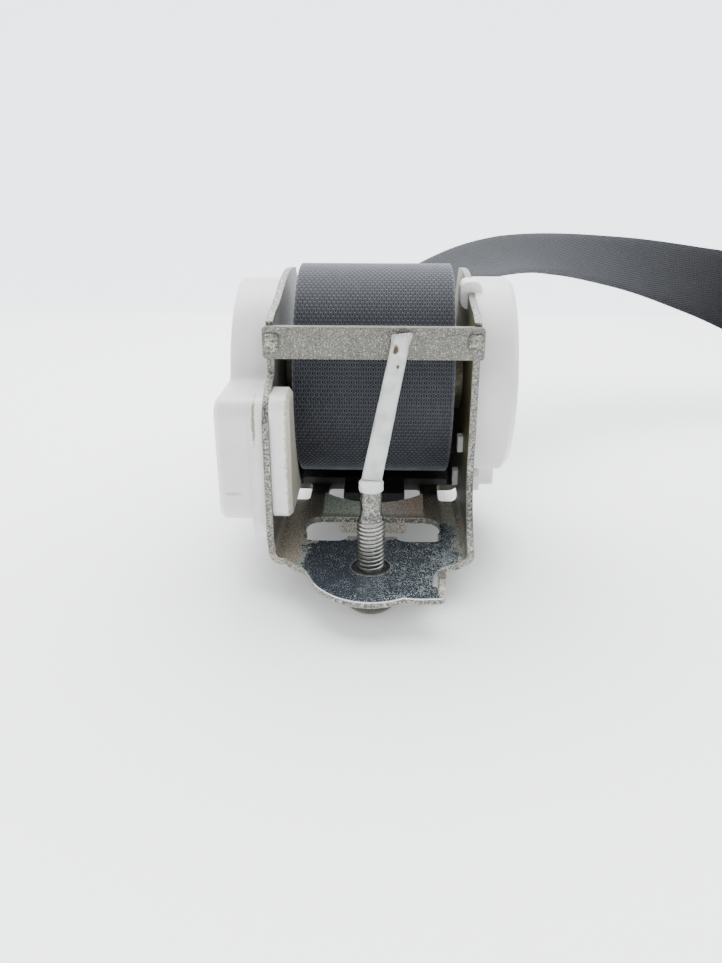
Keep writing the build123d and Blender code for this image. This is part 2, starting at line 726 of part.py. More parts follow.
# Spring cover, with its foot below the drum, and its hook through the notch in the flange's top edge
drum_centre = (0, -cover_drop)
hook_plane = Plane.XZ.offset(-(hook_y - hook_length / 2))
with BuildPart() as spring_cover:
    with BuildSketch(spool_plane(flange_outer)):
        with Locations(drum_centre):
            Circle(spring_drum_radius)
    extrude(amount=spring_cover_depth)
    chamfer(spring_cover.faces().sort_by(Axis.X)[-1].edges(), spring_cover_bevel)
    with BuildSketch(Plane.YZ.offset(flange_outer + foot_inset)):
        with Locations(((foot_front + foot_rear) / 2, (foot_low + spool_z) / 2)):
            RectangleRounded(foot_rear - foot_front, spool_z - foot_low, 3.0)
    extrude(amount=spring_cover_depth - foot_inset - spring_cover_bevel)
    with BuildSketch(spool_plane(flange_outer)):
        with Locations(drum_centre):
            Circle(spring_drum_radius - cover_wall)
    extrude(amount=spring_cover_depth - cover_wall, mode=Mode.SUBTRACT)
    # Snap peg through the flange, on an arm that comes from the foot
    with BuildSketch(Plane.YZ.offset(flange_outer)):
        with Locations(((foot_peg[0] + foot_front) / 2, foot_peg[1] - 0.6)):
            RectangleRounded(foot_front - foot_peg[0] + 2 * foot_peg_half, 2 * foot_peg_half - 1.0, 2.0)
    extrude(amount=foot_inset + 1.0)
    with BuildSketch(Plane.YZ.offset(flange_inner)):
        with Locations(foot_peg):
            Circle(peg_radius)
    extrude(amount=sheet)
    with BuildSketch(Plane.YZ.offset(flange_inner)):
        with Locations(foot_peg):
            RectangleRounded(*peg_head_size, 0.8)
    extrude(amount=-peg_head)
    # Hook with its dimple
    with BuildSketch(hook_plane):
        with Locations((flange_middle, (hook_low + hook_high) / 2)):
            RectangleRounded(sheet + 2 * hook_reach, hook_high - hook_low, hook_round)
        with Locations((flange_middle, (hook_low + hook_high) / 2)):
            Circle(dimple_radius, mode=Mode.SUBTRACT)
    extrude(amount=-hook_length)
    with BuildSketch(hook_plane.offset(-1.0)):
        with Locations((flange_middle, (hook_low + hook_high) / 2)):
            Circle(dimple_radius)
    extrude(amount=1.0 - hook_length)
save(spring_cover, "spring_cover")

# Web guide across the frame's rear, with its clip in the base window
guide_top = guide_slot_z + 11.0
guide_half = flange_inner
with BuildPart() as web_guide:
    with BuildSketch(Plane.XZ.offset(-guide_front)):
        with Locations((0, (head_bottom + guide_top) / 2)):
            RectangleRounded(2 * guide_half, guide_top - head_bottom, 3.0)
    extrude(amount=-guide_wall)
    with BuildSketch(Plane.YZ.offset(-strap_width / 2 - 1.5)):
        with BuildLine():
            reach = guide_wall
            slot_drop = guide_slot_height / 2 * 2 ** 0.5
            Polyline(
                (guide_slot_y - reach, guide_slot_z - reach - slot_drop),
                (guide_slot_y + reach, guide_slot_z + reach - slot_drop - 2.2),
                (guide_slot_y + reach, guide_slot_z + reach + slot_drop),
                (guide_slot_y - reach, guide_slot_z - reach + slot_drop),
                close=True,
            )
        make_face()
    extrude(amount=strap_width + 3.0, mode=Mode.SUBTRACT)
    with BuildSketch(Plane.XY.offset(sheet)):
        with Locations((0, (window_rear + guide_front + guide_wall) / 2)):
            Rectangle(2 * guide_half - 2 * bend_radius - 1.0, guide_front + guide_wall - window_rear)
    extrude(amount=guide_floor)
    with BuildSketch(Plane.XY.offset(0.2)):
        with Locations((0, (window_front + window_rear) / 2 + 0.3)):
            Rectangle(2 * clip_half, window_rear - window_front - 0.8)
    extrude(amount=sheet + guide_floor - 0.2)
    with BuildSketch(Plane.XY.offset(sheet)):
        with Locations((0, window_rear)):
            Rectangle(2 * clip_half, 4.0)
    extrude(amount=guide_floor)
save(web_guide, "web_guide")

# Free webbing: stations as centre point, and the lean of its width from flat to upright, in degrees
rest_z = head_bottom
tongue_x = 288.0
tongue_y = 70.0
anchor_x = 253.0
anchor_y = 54.0
lap_y = 70.0
lap_length = 14.0
upright_z = rest_z + strap_width / 2
tongue_z = rest_z + tongue_width / 2
anchor_z = rest_z + anchor_width / 2
strap_route = (
    ((0, exit_y, exit_z), 0),
    ((0, (exit_y + guide_slot_y) / 2, (exit_z + guide_slot_z) / 2), 0),
    ((0, guide_slot_y, guide_slot_z), 0),
    ((2.9, 115.1, 45.6), -6),
    ((12.9, 143.7, 55.4), -8),
    ((34.9, 169.3, 64.2), 2),
    ((68.0, 193.5, 68.7), 16),
    ((116.5, 204.7, 62.8), 27),
    ((160.7, 206.5, 52.6), 40),
    ((197.7, 200.5, 42.0), 56),
    ((233.0, 186.0, 33.0), 72),
    ((264.0, 164.0, tongue_z + 4.0), 84),
    ((284.0, 139.0, tongue_z + 0.5), 90),
    ((tongue_x, 114.0, tongue_z), 90),
    ((tongue_x, 97.0, tongue_z), 90),
    ((tongue_x, 80.0, tongue_z), 90),
    ((tongue_x, 63.0, tongue_z), 90),
    ((tongue_x, 46.0, tongue_z), 90),
    ((286.5, 29.0, tongue_z - 1.5), 90),
    ((276.0, 8.0, upright_z + 3.0), 90),
    ((254.0, -4.0, upright_z + 0.5), 90),
    ((222.0, -5.0, upright_z + 0.2), 90),
    ((192.0, 10.0, upright_z + 0.2), 90),
    ((176.0, 41.0, upright_z + 0.2), 90),
    ((178.0, 76.0, upright_z + 0.2), 90),
    ((195.0, 106.0, upright_z + 1.5), 90),
    ((224.0, 121.0, anchor_z - 1.0), 90),
    ((247.0, 110.0, anchor_z), 90),
    ((anchor_x, 88.0, anchor_z), 90),
    ((anchor_x, lap_y, anchor_z), 90),
)
run_end = 10
stations_between = 2


def smooth(points, steps):
    """Points on a smooth curve through the stations, with this many steps from one to the next."""
    ends = [2 * points[0] - points[1]] + points + [2 * points[-1] - points[-2]]
    curve = []
    for a, b, c, d in zip(ends, ends[1:], ends[2:], ends[3:]):
        for step in range(steps):
            u = step / steps
            curve.append(
                b
                + 0.5 * (c - a) * u
                + 0.5 * (2 * a - 5 * b + 4 * c - d) * u**2
                + 0.5 * (3 * b - a - 3 * c + d) * u**3
            )
    return curve + [points[-1]]


strap_centres = smooth([Vector(*point) for point, lean in strap_route], stations_between)
strap_leans = [v.X for v in smooth([Vector(lean, 0, 0) for point, lean in strap_route], stations_between)]
strap_length = sum((b - a).length for a, b in zip(strap_centres, strap_centres[1:]))
print(f"free webbing {strap_length:.0f} mm")


def strap_section(index):
    """The plane across the webbing at one of its points, with X along its width."""
    before = strap_centres[max(index - 1, 0)]
    after = strap_centres[min(index + 1, len(strap_centres) - 1)]
    along = (after - before).normalized()
    right = along.cross(Vector(0, 0, 1)).normalized()
    above = right.cross(along)
    lean = radians(strap_leans[index])
    return Plane(strap_centres[index], x_dir=right * cos(lean) - above * sin(lean), z_dir=along)


# The webbing in two pieces of one band: its run up from the guide, and its loop
split = run_end * stations_between
for name, first, last in (("strap_run", 0, split), ("strap_loop", split, len(strap_centres) - 1)):
    with BuildPart() as band:
        for index in range(first, last + 1):
            with BuildSketch(strap_section(index)):
                Rectangle(strap_width, strap_thickness)
        loft(ruled=True)
    save(band, name)

# Tongue: its steel plate, upright across the webbing, and the moulded grip round the plate's slot
tongue_plane = Plane((tongue_x, tongue_y, tongue_z), x_dir=(0, 0, 1), z_dir=(0, 1, 0))
with BuildPart() as tongue_plate:
    with BuildSketch(tongue_plane.offset(-plate_thickness / 2)):
        RectangleRounded(tongue_width - 4.0, 2 * bar_margin + slot_width, 5.0)
        with Locations((0, (bar_margin + blade_length) / 2 + blade_root / 2)):
            RectangleRounded(blade_width, blade_length + blade_root, 4.0)
        with BuildLine():
            Polyline(
                (-tongue_width / 2 + 7.0, bar_margin),
                (-blade_width / 2, bar_margin + blade_root + 4.0),
                (blade_width / 2, bar_margin + blade_root + 4.0),
                (tongue_width / 2 - 7.0, bar_margin),
                close=True,
            )
        make_face()
        RectangleRounded(slot_length, slot_width, slot_width / 2 - 0.1, mode=Mode.SUBTRACT)
        with Locations((0, latch_y)):
            RectangleRounded(latch_width, latch_length, 1.5, mode=Mode.SUBTRACT)
    extrude(amount=plate_thickness)
save(tongue_plate, "tongue_plate")
with BuildPart() as tongue_grip:
    with BuildSketch(tongue_plane.offset(-grip_thickness / 2)):
        with BuildLine():
            heel = ThreePointArc(
                (-tongue_width / 2, -bar_margin), (0, -bar_margin - 5.0), (tongue_width / 2, -bar_margin)
            )
            Polyline(
                heel @ 1,
                (tongue_width / 2, bar_margin + 2.0),
                (blade_width / 2 + 4.0, grip_front),
                (-blade_width / 2 - 4.0, grip_front),
                (-tongue_width / 2, bar_margin + 2.0),
                heel @ 0,
            )
        make_face()
        RectangleRounded(slot_length - 0.6, strap_thickness + 2 * soft_gap, 0.8, mode=Mode.SUBTRACT)
    extrude(amount=grip_thickness)
    sides = tongue_grip.faces().filter_by(Axis.Y).sort_by(Axis.Y)
    chamfer([edge for face in (sides[0], sides[-1]) for edge in face.outer_wire().edges()], 2.0)
    add(tongue_plate.part, mode=Mode.SUBTRACT)
save(tongue_grip, "tongue_grip")

# Stop button on both faces of the webbing, which keeps the tongue from sliding down
with BuildPart() as tongue_stop:
    for side in (1, -1):
        stop_face = tongue_x + side * (strap_thickness / 2 + 0.1)
        with BuildSketch(Plane((stop_face, stop_y, tongue_z), x_dir=(0, 1, 0), z_dir=(side, 0, 0))):
            Circle(stop_radius)
        extrude(amount=stop_height)
save(tongue_stop, "tongue_stop")

# Lap anchor plate at the webbing's end
anchor_plane = Plane((anchor_x, anchor_y, anchor_z), x_dir=(0, 0, 1), z_dir=(1, 0, 0))
with BuildPart() as anchor_plate:
    with BuildSketch(anchor_plane.offset(-plate_thickness / 2)):
        with Locations((0, slot_width / 2 + 0.2)):
            RectangleRounded(anchor_width, slot_width + 9.0, 5.0)
        with BuildLine():
            Polyline(
                (-anchor_width / 2 + 5.0, 4.0),
                (-anchor_eye, anchor_reach - 4.0),
                (anchor_eye, anchor_reach - 4.0),
                (anchor_width / 2 - 5.0, 4.0),
                close=True,
            )
        make_face()
        with Locations((0, anchor_reach)):
            Circle(anchor_eye)
            Circle(anchor_hole_radius, mode=Mode.SUBTRACT)
        with Locations((0, slot_width / 2 + 0.2)):
            RectangleRounded(slot_length, slot_width, slot_width / 2 - 0.1, mode=Mode.SUBTRACT)
    extrude(amount=plate_thickness)
save(anchor_plate, "anchor_plate")

# End of the webbing, folded round the anchor plate's bar and lapped onto itself
bar_end = anchor_y - 0.2
bar_start = bar_end + 4.5
fold_inner = plate_thickness / 2 + soft_gap
fold_outer = fold_inner + strap_thickness
fold_low = bar_end - soft_gap - strap_thickness
lap_side = anchor_x - strap_thickness / 2 - 0.2
with BuildPart() as strap_end:
    with BuildSketch(Plane.XY.offset(anchor_z - strap_width / 2)):
        with BuildLine():
            Polyline(
                (anchor_x + strap_thickness / 2, lap_y - 0.05),
                (anchor_x + fold_outer, bar_start + 1.5),
                (anchor_x + fold_outer, fold_low),
                (anchor_x - fold_outer, fold_low),
                (anchor_x - fold_outer, bar_start + 1.5),
                (lap_side - strap_thickness, lap_y),
                (lap_side - strap_thickness, lap_y + lap_length),
                (lap_side, lap_y + lap_length),
                (lap_side, lap_y - 0.05),
                (anchor_x - strap_thickness / 2, lap_y - 0.05),
                close=True,
            )
        make_face()
        with BuildLine():
            Polyline(
                (anchor_x - 0.3, lap_y - 3.0),
                (anchor_x + fold_inner, bar_start + 1.5),
                (anchor_x + fold_inner, fold_low + strap_thickness),
                (anchor_x - fold_inner, fold_low + strap_thickness),
                (anchor_x - fold_inner, bar_start + 1.5),
                close=True,
            )
        make_face(mode=Mode.SUBTRACT)
    extrude(amount=strap_width)
save(strap_end, "strap_end")
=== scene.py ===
# Seat belt retractor on a pale table, dressed for a close look
import json
import math

import bpy
from mathutils import Matrix, Vector


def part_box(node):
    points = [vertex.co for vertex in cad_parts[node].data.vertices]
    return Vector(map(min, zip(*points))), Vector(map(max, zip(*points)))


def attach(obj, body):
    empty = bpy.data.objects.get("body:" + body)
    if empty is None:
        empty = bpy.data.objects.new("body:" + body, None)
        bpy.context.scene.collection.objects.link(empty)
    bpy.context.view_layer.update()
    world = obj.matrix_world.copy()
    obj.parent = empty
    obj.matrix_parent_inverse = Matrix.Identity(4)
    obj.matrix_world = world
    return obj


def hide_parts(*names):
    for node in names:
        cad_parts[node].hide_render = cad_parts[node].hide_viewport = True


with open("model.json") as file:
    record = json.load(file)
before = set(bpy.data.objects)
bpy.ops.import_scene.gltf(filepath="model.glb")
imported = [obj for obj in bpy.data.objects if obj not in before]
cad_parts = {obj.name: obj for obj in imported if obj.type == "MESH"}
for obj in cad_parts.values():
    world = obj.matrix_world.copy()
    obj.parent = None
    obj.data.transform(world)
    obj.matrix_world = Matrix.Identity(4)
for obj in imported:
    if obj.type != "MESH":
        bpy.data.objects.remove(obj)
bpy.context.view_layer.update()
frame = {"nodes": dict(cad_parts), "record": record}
nodes = frame["nodes"]
mm = 0.001
print("frame loaded:", len(nodes), "nodes")


def clearSelection():
    if bpy.context.object and bpy.context.object.mode != "OBJECT":
        bpy.ops.object.mode_set(mode="OBJECT")
    bpy.ops.object.select_all(action="DESELECT")


def only(piece):
    clearSelection()
    piece.select_set(True)
    bpy.context.view_layer.objects.active = piece


def settle(piece):
    # Puts the piece's place into its mesh
    only(piece)
    bpy.ops.object.transform_apply(location=True, rotation=True, scale=True)


# Shared axis of the spool, worked out from the roll's own box
rollLow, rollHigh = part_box("web_roll")
spool = {
    "y": (rollLow.y + rollHigh.y) / 2,
    "z": (rollLow.z + rollHigh.z) / 2,
    "radius": (rollHigh.z - rollLow.z) / 2,
    "width": rollHigh.x - rollLow.x,
}


# Materials

def startMaterial(name, roughness, metallic=0.0):
    material = bpy.data.materials.new(name)
    material.use_nodes = True
    tree = material.node_tree
    shader = tree.nodes["Principled BSDF"]
    shader.inputs["Roughness"].default_value = roughness
    shader.inputs["Metallic"].default_value = metallic
    return material, tree, shader


def addNode(tree, kind, links=(), **values):
    node = tree.nodes.new(kind)
    for key, value in values.items():
        if key in node.inputs:
            node.inputs[key].default_value = value
        else:
            setattr(node, key, value)
    for socket, source in links:
        tree.links.new(source, node.inputs[socket])
    return node


def colourRamp(tree, source, stops):
    ramp = addNode(tree, "ShaderNodeValToRGB", [(0, source)])
    elements = ramp.color_ramp.elements
    while len(elements) < len(stops):
        elements.new(0.5)
    for element, (place, colour) in zip(elements, stops):
        element.position = place
        element.color = (*colour, 1.0)
    return ramp.outputs["Color"]


def noise(tree, vector, scale, detail=3.0, roughness=0.55):
    settings = {"Scale": scale, "Detail": detail, "Roughness": roughness}
    return addNode(tree, "ShaderNodeTexNoise", [("Vector", vector)], **settings).outputs["Fac"]


def bump(tree, height, distance, strength):
    settings = {"Distance": distance, "Strength": strength}
    return addNode(tree, "ShaderNodeBump", [("Height", height)], **settings).outputs["Normal"]


def mixColour(tree, factor, first, second, mode="MIX"):
    node = tree.nodes.new("ShaderNodeMix")
    node.data_type = "RGBA"
    node.blend_type = mode
    for socket, value in ((0, factor), (6, first), (7, second)):
        if isinstance(value, bpy.types.NodeSocket):
            tree.links.new(value, node.inputs[socket])
        elif socket == 0:
            node.inputs[0].default_value = value
        else:
            node.inputs[socket].default_value = (*value, 1.0)
    return node.outputs[2]


def calc(tree, operation, first, second=0.0):
    node = tree.nodes.new("ShaderNodeMath")
    node.operation = operation
    for socket, value in ((0, first), (1, second)):
        if isinstance(value, bpy.types.NodeSocket):
            tree.links.new(value, node.inputs[socket])
        else:
            node.inputs[socket].default_value = value
    return node.outputs[0]


def ramped(tree, value, start, full):
    # 0 at start, 1 at full, either way round
    node = addNode(tree, "ShaderNodeMapRange", [("Value", value)])
    node.inputs["From Min"].default_value = start
    node.inputs["From Max"].default_value = full
    return node.outputs[0]


def band(tree, value, low, high, soft):
    # 1 between low and high, fading to 0 over the soft width inside each
    rising = ramped(tree, value, low, low + soft)
    return calc(tree, "MULTIPLY", rising, ramped(tree, value, high, high - soft))


def both(tree, *masks):
    found = masks[0]
    for mask in masks[1:]:
        found = calc(tree, "MULTIPLY", found, mask)
    return found


def reachFrom(tree, first, second):
    # Length of the line whose two sides are given
    squares = [calc(tree, "MULTIPLY", side, side) for side in (first, second)]
    return calc(tree, "SQRT", calc(tree, "ADD", *squares))


def objectPlace(tree):
    return addNode(tree, "ShaderNodeTexCoord").outputs["Object"]


def coordinates(tree):
    place = objectPlace(tree)
    parts = addNode(tree, "ShaderNodeSeparateXYZ", [(0, place)])
    return place, parts.outputs[0], parts.outputs[1], parts.outputs[2]


def translucent(shader, weight, radius):
    shader.inputs["Subsurface Weight"].default_value = weight
    shader.inputs["Subsurface Radius"].default_value = radius
    shader.inputs["Subsurface Scale"].default_value = 1.0


# In every look below, a texture is its scale, its detail and where given its roughness,
# and a bump is its distance in metres and its strength
zincLook = {
    "light": (0.15, 0.146, 0.126),
    "dark": (0.06, 0.057, 0.046),
    "glint": (0.50, 0.50, 0.465),
    "rust": (0.52, 0.40, 0.31),
    "pale": (0.62, 0.59, 0.50),
    # The saddle's green, near-white and copper are its chromate tints painted much paler: painted light
    "saddle": (0.98, 0.97, 0.89),
    "litVerdigris": (0.80, 0.95, 0.77),
    "litCopper": (0.98, 0.80, 0.63),
    "crushed": [(0.40, (0.03, 0.03, 0.025)), (0.50, (0.13, 0.126, 0.11)), (0.62, (0.56, 0.56, 0.52))],
    "green": (0.37, 0.46, 0.36),
    "taupe": (0.56, 0.47, 0.37),
    "powder": (0.50, 0.53, 0.55),
    "olive": (0.17, 0.155, 0.075),
    "mirror": (0.145, 0.17, 0.21),
    "polished": (0.82, 0.82, 0.80),
    "roughness": 0.4,
    "metallic": 0.6,
    "speckle": (2600.0, 2.0, 0.75),
    "cloud": (160.0, 4.0),
    "cloudTone": [(0.3, (0.80, 0.80, 0.79)), (0.7, (1.0, 1.0, 1.0))],
    "bump": (0.00005, 0.6),
}


def zincBase(tree, place, paintedHighlightLift=1.0):
    # A lift above 1 makes the zinc paler, which paints highlights in
    speckle = noise(tree, place, *zincLook["speckle"])
    light = tuple(c * paintedHighlightLift for c in zincLook["light"])
    stops = [(0.34, zincLook["dark"]), (0.47, light), (0.60, light), (0.68, zincLook["glint"])]
    grains = colourRamp(tree, speckle, stops)
    tone = colourRamp(tree, noise(tree, place, *zincLook["cloud"]), zincLook["cloudTone"])
    return mixColour(tree, 1.0, grains, tone, "MULTIPLY"), speckle


def zincSteel(name, paintedHighlightLift=1.0):
    material, tree, shader = startMaterial(name, zincLook["roughness"], zincLook["metallic"])
    place = objectPlace(tree)
    base, speckle = zincBase(tree, place, paintedHighlightLift)
    tree.links.new(base, shader.inputs["Base Color"])
    tree.links.new(bump(tree, speckle, *zincLook["bump"]), shader.inputs["Normal"])
    return material


# Three places make a band: where it starts, where it ends and how wide its soft edges are
# A pair under "ramps" is where a mask starts and where it is full
frameLook = {
    "flange": (28.0 * mm, 30.0 * mm),
    "sheet": 2.0 * mm,
    "edgeMargin": 0.16 * mm,
    "edgeSoft": 0.08 * mm,
    "saddle": (31.0 * mm, 48.5 * mm, 1.0 * mm),
    "film": (27.5 * mm, 28.05 * mm, 0.05 * mm),
    "coinedSides": (-23.5 * mm, 29.0 * mm, 8.0 * mm),
    "coinedEnds": (-30.0 * mm, 19.5 * mm, 6.0 * mm),
    "coinedFace": (1.95 * mm, 2.3 * mm, 0.02 * mm),
    "wobble": 11.0 * mm,
    "reach": 14.0 * mm,
    "ring": (5.6 * mm, 6.1 * mm, 0.15 * mm),
    "rim": (1.45 * mm, 1.95 * mm, 0.1 * mm),
    "ramps": {
        "flangeFoot": (3.4 * mm, 3.6 * mm),
        "cutSide": (26.2 * mm, 25.8 * mm),
        "cutRear": (46.0 * mm, 42.0 * mm),
        "trayTop": (8.0 * mm, 5.0 * mm),
        "trayRear": (54.0 * mm, 49.0 * mm),
        "trayLeft": (-14.0 * mm, -20.0 * mm),
        "saddleSide": (17.6 * mm, 16.6 * mm),
        "saddleFoot": (1.8 * mm, 2.2 * mm),
        "saddleSpan": (-16.0 * mm, 16.0 * mm),
        "rearShadeStart": (52.0 * mm, 58.0 * mm),
        "rearShadeTop": (5.0 * mm, 3.0 * mm),
        "filmLow": (16.0 * mm, 24.0 * mm),
        "reachSide": (17.0 * mm, 22.0 * mm),
        "dustSide": (-8.0 * mm, 24.0 * mm),
        "rimRear": (-9.0 * mm, -10.0 * mm),
        "grit": (0.40, 0.56),
        "film": (0.30, 0.42),
        "powder": (0.42, 0.58),
        "coined": (0.3, 0.7),
        "border": (0.02, 0.10),
        "grains": (0.14, 0.23),
    },
    "textures": {
        "crackle": (1500.0, 4.0, 0.85),
        "chromate": (420.0, 3.0, 0.8),
        "grit": (2000.0, 3.0, 0.8),
        "film": (90.0, 3.0),
        "powder": (1500.0, 2.0),
        "drift": (190.0, 4.0, 0.7),
        "specks": (2100.0, 2.0, 0.7),
        "dust": (330.0, 3.0, 0.7),
    },
    "dustScale": 3000.0,
    "dustWander": 0.48,
    "strength": {
        "cut": 0.85,
        "tray": 0.85,
        "brown": 0.6,
        "patinaAndPaintedLight": 0.95,
        "rearShade": 0.8,
        "paintedHighlight": 0.75,
        "trayTarnish": 0.35,
        "saddleTarnish": 0.4,
        "mirrorMetal": 0.8,
        "mirrorSmooth": 0.31,
        "saddleGrit": 0.5,
        "specks": 0.9,
        "dustLean": 0.19,
    },
    "roughness": 0.42,
    "bump": (0.00009, 0.7),
}


def frameRamp(tree, value, name):
    return ramped(tree, value, *frameLook["ramps"][name])


def frameNoise(tree, place, name):
    return noise(tree, place, *frameLook["textures"][name])


def frameShare(tree, mask, name):
    return calc(tree, "MULTIPLY", mask, frameLook["strength"][name])


def cutEdges(tree, away, y, z):
    # Mask of the cut edges of the flanges and of the base
    margin, soft = frameLook["edgeMargin"], frameLook["edgeSoft"]
    inner, outer = frameLook["flange"]
    flanges = both(
        tree,
        band(tree, away, inner + margin, outer - margin, soft),
        frameRamp(tree, z, "flangeFoot"),
    )
    base = both(
        tree,
        band(tree, z, margin, frameLook["sheet"] - margin, soft),
        frameRamp(tree, away, "cutSide"),
        frameRamp(tree, y, "cutRear"),
    )
    return calc(tree, "MAXIMUM", flanges, base)


def trayTint(tree, place, x, saddle):
    # Chromate tints: brown at the left, green to copper across the saddle, dark grit over all; across the
    # saddle the tints are painted much paler and the grit thinner, painted light for the light its sloped
    # face catches
    stops = [(0.42, zincLook["rust"]), (0.50, zincLook["pale"]), (0.58, zincLook["green"])]
    tint = colourRamp(tree, frameNoise(tree, place, "chromate"), stops)
    brown = frameShare(tree, frameRamp(tree, x, "trayLeft"), "brown")
    tint = mixColour(tree, brown, tint, zincLook["taupe"])
    stops = [(0.15, zincLook["litVerdigris"]), (0.5, zincLook["saddle"]), (0.9, zincLook["litCopper"])]
    patinaAndPaintedLight = colourRamp(tree, frameRamp(tree, x, "saddleSpan"), stops)
    tint = mixColour(tree, frameShare(tree, saddle, "patinaAndPaintedLight"), tint, patinaAndPaintedLight)
    grit = frameRamp(tree, frameNoise(tree, place, "grit"), "grit")
    grit = calc(tree, "MAXIMUM", grit, frameShare(tree, saddle, "saddleGrit"))
    return mixColour(tree, grit, zincLook["dark"], tint)


def wander(tree, place, name, amount):
    # Noise about zero, as wide as the amount
    centred = calc(tree, "SUBTRACT", frameNoise(tree, place, name), 0.5)
    return calc(tree, "MULTIPLY", centred, amount)


def coinedDepth(tree, place, x, y, z):
    # 1 well inside the coined zone, 0 outside; it reaches further back at the right
    drift = wander(tree, place, "drift", frameLook["wobble"])
    reach = calc(tree, "MULTIPLY", frameRamp(tree, x, "reachSide"), frameLook["reach"])
    along = calc(tree, "SUBTRACT", calc(tree, "SUBTRACT", y, drift), reach)
    return both(
        tree,
        band(tree, calc(tree, "ADD", x, drift), *frameLook["coinedSides"]),
        band(tree, along, *frameLook["coinedEnds"]),
        band(tree, z, *frameLook["coinedFace"]),
    )


def coinedMirror(tree, place, x, depth):
    # The border and the right half of the mirror break up into specks of powder
    specks = frameShare(tree, frameNoise(tree, place, "specks"), "specks")
    zone = frameRamp(tree, calc(tree, "SUBTRACT", depth, specks), "border")
    grains = addNode(tree, "ShaderNodeTexVoronoi", [("Vector", place)], Scale=frameLook["dustScale"])
    lean = frameShare(tree, frameRamp(tree, x, "dustSide"), "dustLean")
    drifts = wander(tree, place, "dust", frameLook["dustWander"])
    away = calc(tree, "SUBTRACT", calc(tree, "SUBTRACT", grains.outputs["Distance"], lean), drifts)
    return calc(tree, "MULTIPLY", zone, frameRamp(tree, away, "grains"))


def zincFrame(name):
    # Stamped zinc: powdery faces, crushed bright grains on the cut edges, a coined mirror round the bolt with
    # its dark colour a painted reflection, painted light on the saddle, painted shade at the rear and painted
    # highlights on the ring and the front edge
    material, tree, shader = startMaterial(name, zincLook["roughness"], zincLook["metallic"])
    place, x, y, z = coordinates(tree)
    base, speckle = zincBase(tree, place)
    away = calc(tree, "ABSOLUTE", x)
    cut = cutEdges(tree, away, y, z)
    crackle = frameNoise(tree, place, "crackle")
    crushed = colourRamp(tree, crackle, zincLook["crushed"])
    base = mixColour(tree, frameShare(tree, cut, "cut"), base, crushed)
    uncut = calc(tree, "SUBTRACT", 1.0, cut)
    floor = both(tree, frameRamp(tree, z, "trayTop"), uncut, frameRamp(tree, y, "trayRear"))
    # Painted light: the saddle is painted paler, for the light its sloped face catches
    saddle = both(
        tree,
        band(tree, y, *frameLook["saddle"]),
        frameRamp(tree, away, "saddleSide"),
        frameRamp(tree, z, "saddleFoot"),
    )
    tint = trayTint(tree, place, x, saddle)
    base = mixColour(tree, frameShare(tree, floor, "tray"), base, tint)
    # Painted shade: the base is darker at the rear, where it lies under the roll
    rearShade = both(tree, frameRamp(tree, y, "rearShadeStart"), frameRamp(tree, z, "rearShadeTop"))
    base = mixColour(tree, frameShare(tree, rearShade, "rearShade"), base, zincLook["dark"])
    # Olive film on the inner face of the right flange
    patchy = frameRamp(tree, frameNoise(tree, place, "film"), "film")
    film = both(tree, band(tree, x, *frameLook["film"]), frameRamp(tree, z, "filmLow"), patchy)
    base = mixColour(tree, film, base, zincLook["olive"])
    depth = coinedDepth(tree, place, x, y, z)
    tinted = frameRamp(tree, frameNoise(tree, place, "powder"), "powder")
    powder = mixColour(tree, tinted, zincLook["powder"], zincLook["green"])
    base = mixColour(tree, frameRamp(tree, depth, "coined"), base, powder)
    zone = coinedMirror(tree, place, x, depth)
    # The coined zone is really smooth and metallic; its dark bluish colour is a painted reflection of the
    # dark roll above it
    base = mixColour(tree, zone, base, zincLook["mirror"])
    # Painted highlights on the ring pressed round the bolt and along the upper line of the front edge, for
    # the light their rounded edges catch
    ring = calc(tree, "MULTIPLY", band(tree, reachFrom(tree, x, y), *frameLook["ring"]), depth)
    rim = both(tree, band(tree, z, *frameLook["rim"]), frameRamp(tree, y, "rimRear"))
    paintedHighlight = frameShare(tree, calc(tree, "MAXIMUM", ring, rim), "paintedHighlight")
    base = mixColour(tree, paintedHighlight, base, zincLook["polished"])
    tree.links.new(base, shader.inputs["Base Color"])
    metal = calc(tree, "SUBTRACT", zincLook["metallic"], frameShare(tree, floor, "trayTarnish"))
    metal = calc(tree, "SUBTRACT", metal, frameShare(tree, saddle, "saddleTarnish"))
    metal = calc(tree, "MAXIMUM", frameShare(tree, zone, "mirrorMetal"), metal)
    tree.links.new(metal, shader.inputs["Metallic"])
    smooth = calc(tree, "SUBTRACT", frameLook["roughness"], frameShare(tree, zone, "mirrorSmooth"))
    tree.links.new(smooth, shader.inputs["Roughness"])
    grainy = calc(tree, "MULTIPLY", speckle, calc(tree, "SUBTRACT", 1.0, zone))
    height = calc(tree, "ADD", grainy, calc(tree, "MULTIPLY", crackle, cut))
    tree.links.new(bump(tree, height, *frameLook["bump"]), shader.inputs["Normal"])
    return material


steelLook = {"metallic": 0.9, "grain": (1300.0, 3.0, 0.7), "lowShare": 0.62, "bump": (0.00003, 0.4)}


def toolSteel(name, colour, roughness):
    material, tree, shader = startMaterial(name, roughness, steelLook["metallic"])
    place = objectPlace(tree)
    grain = noise(tree, place, *steelLook["grain"])
    low = tuple(c * steelLook["lowShare"] for c in colour)
    tree.links.new(colourRamp(tree, grain, [(0.35, low), (0.62, colour)]), shader.inputs["Base Color"])
    tree.links.new(bump(tree, grain, *steelLook["bump"]), shader.inputs["Normal"])
    return material


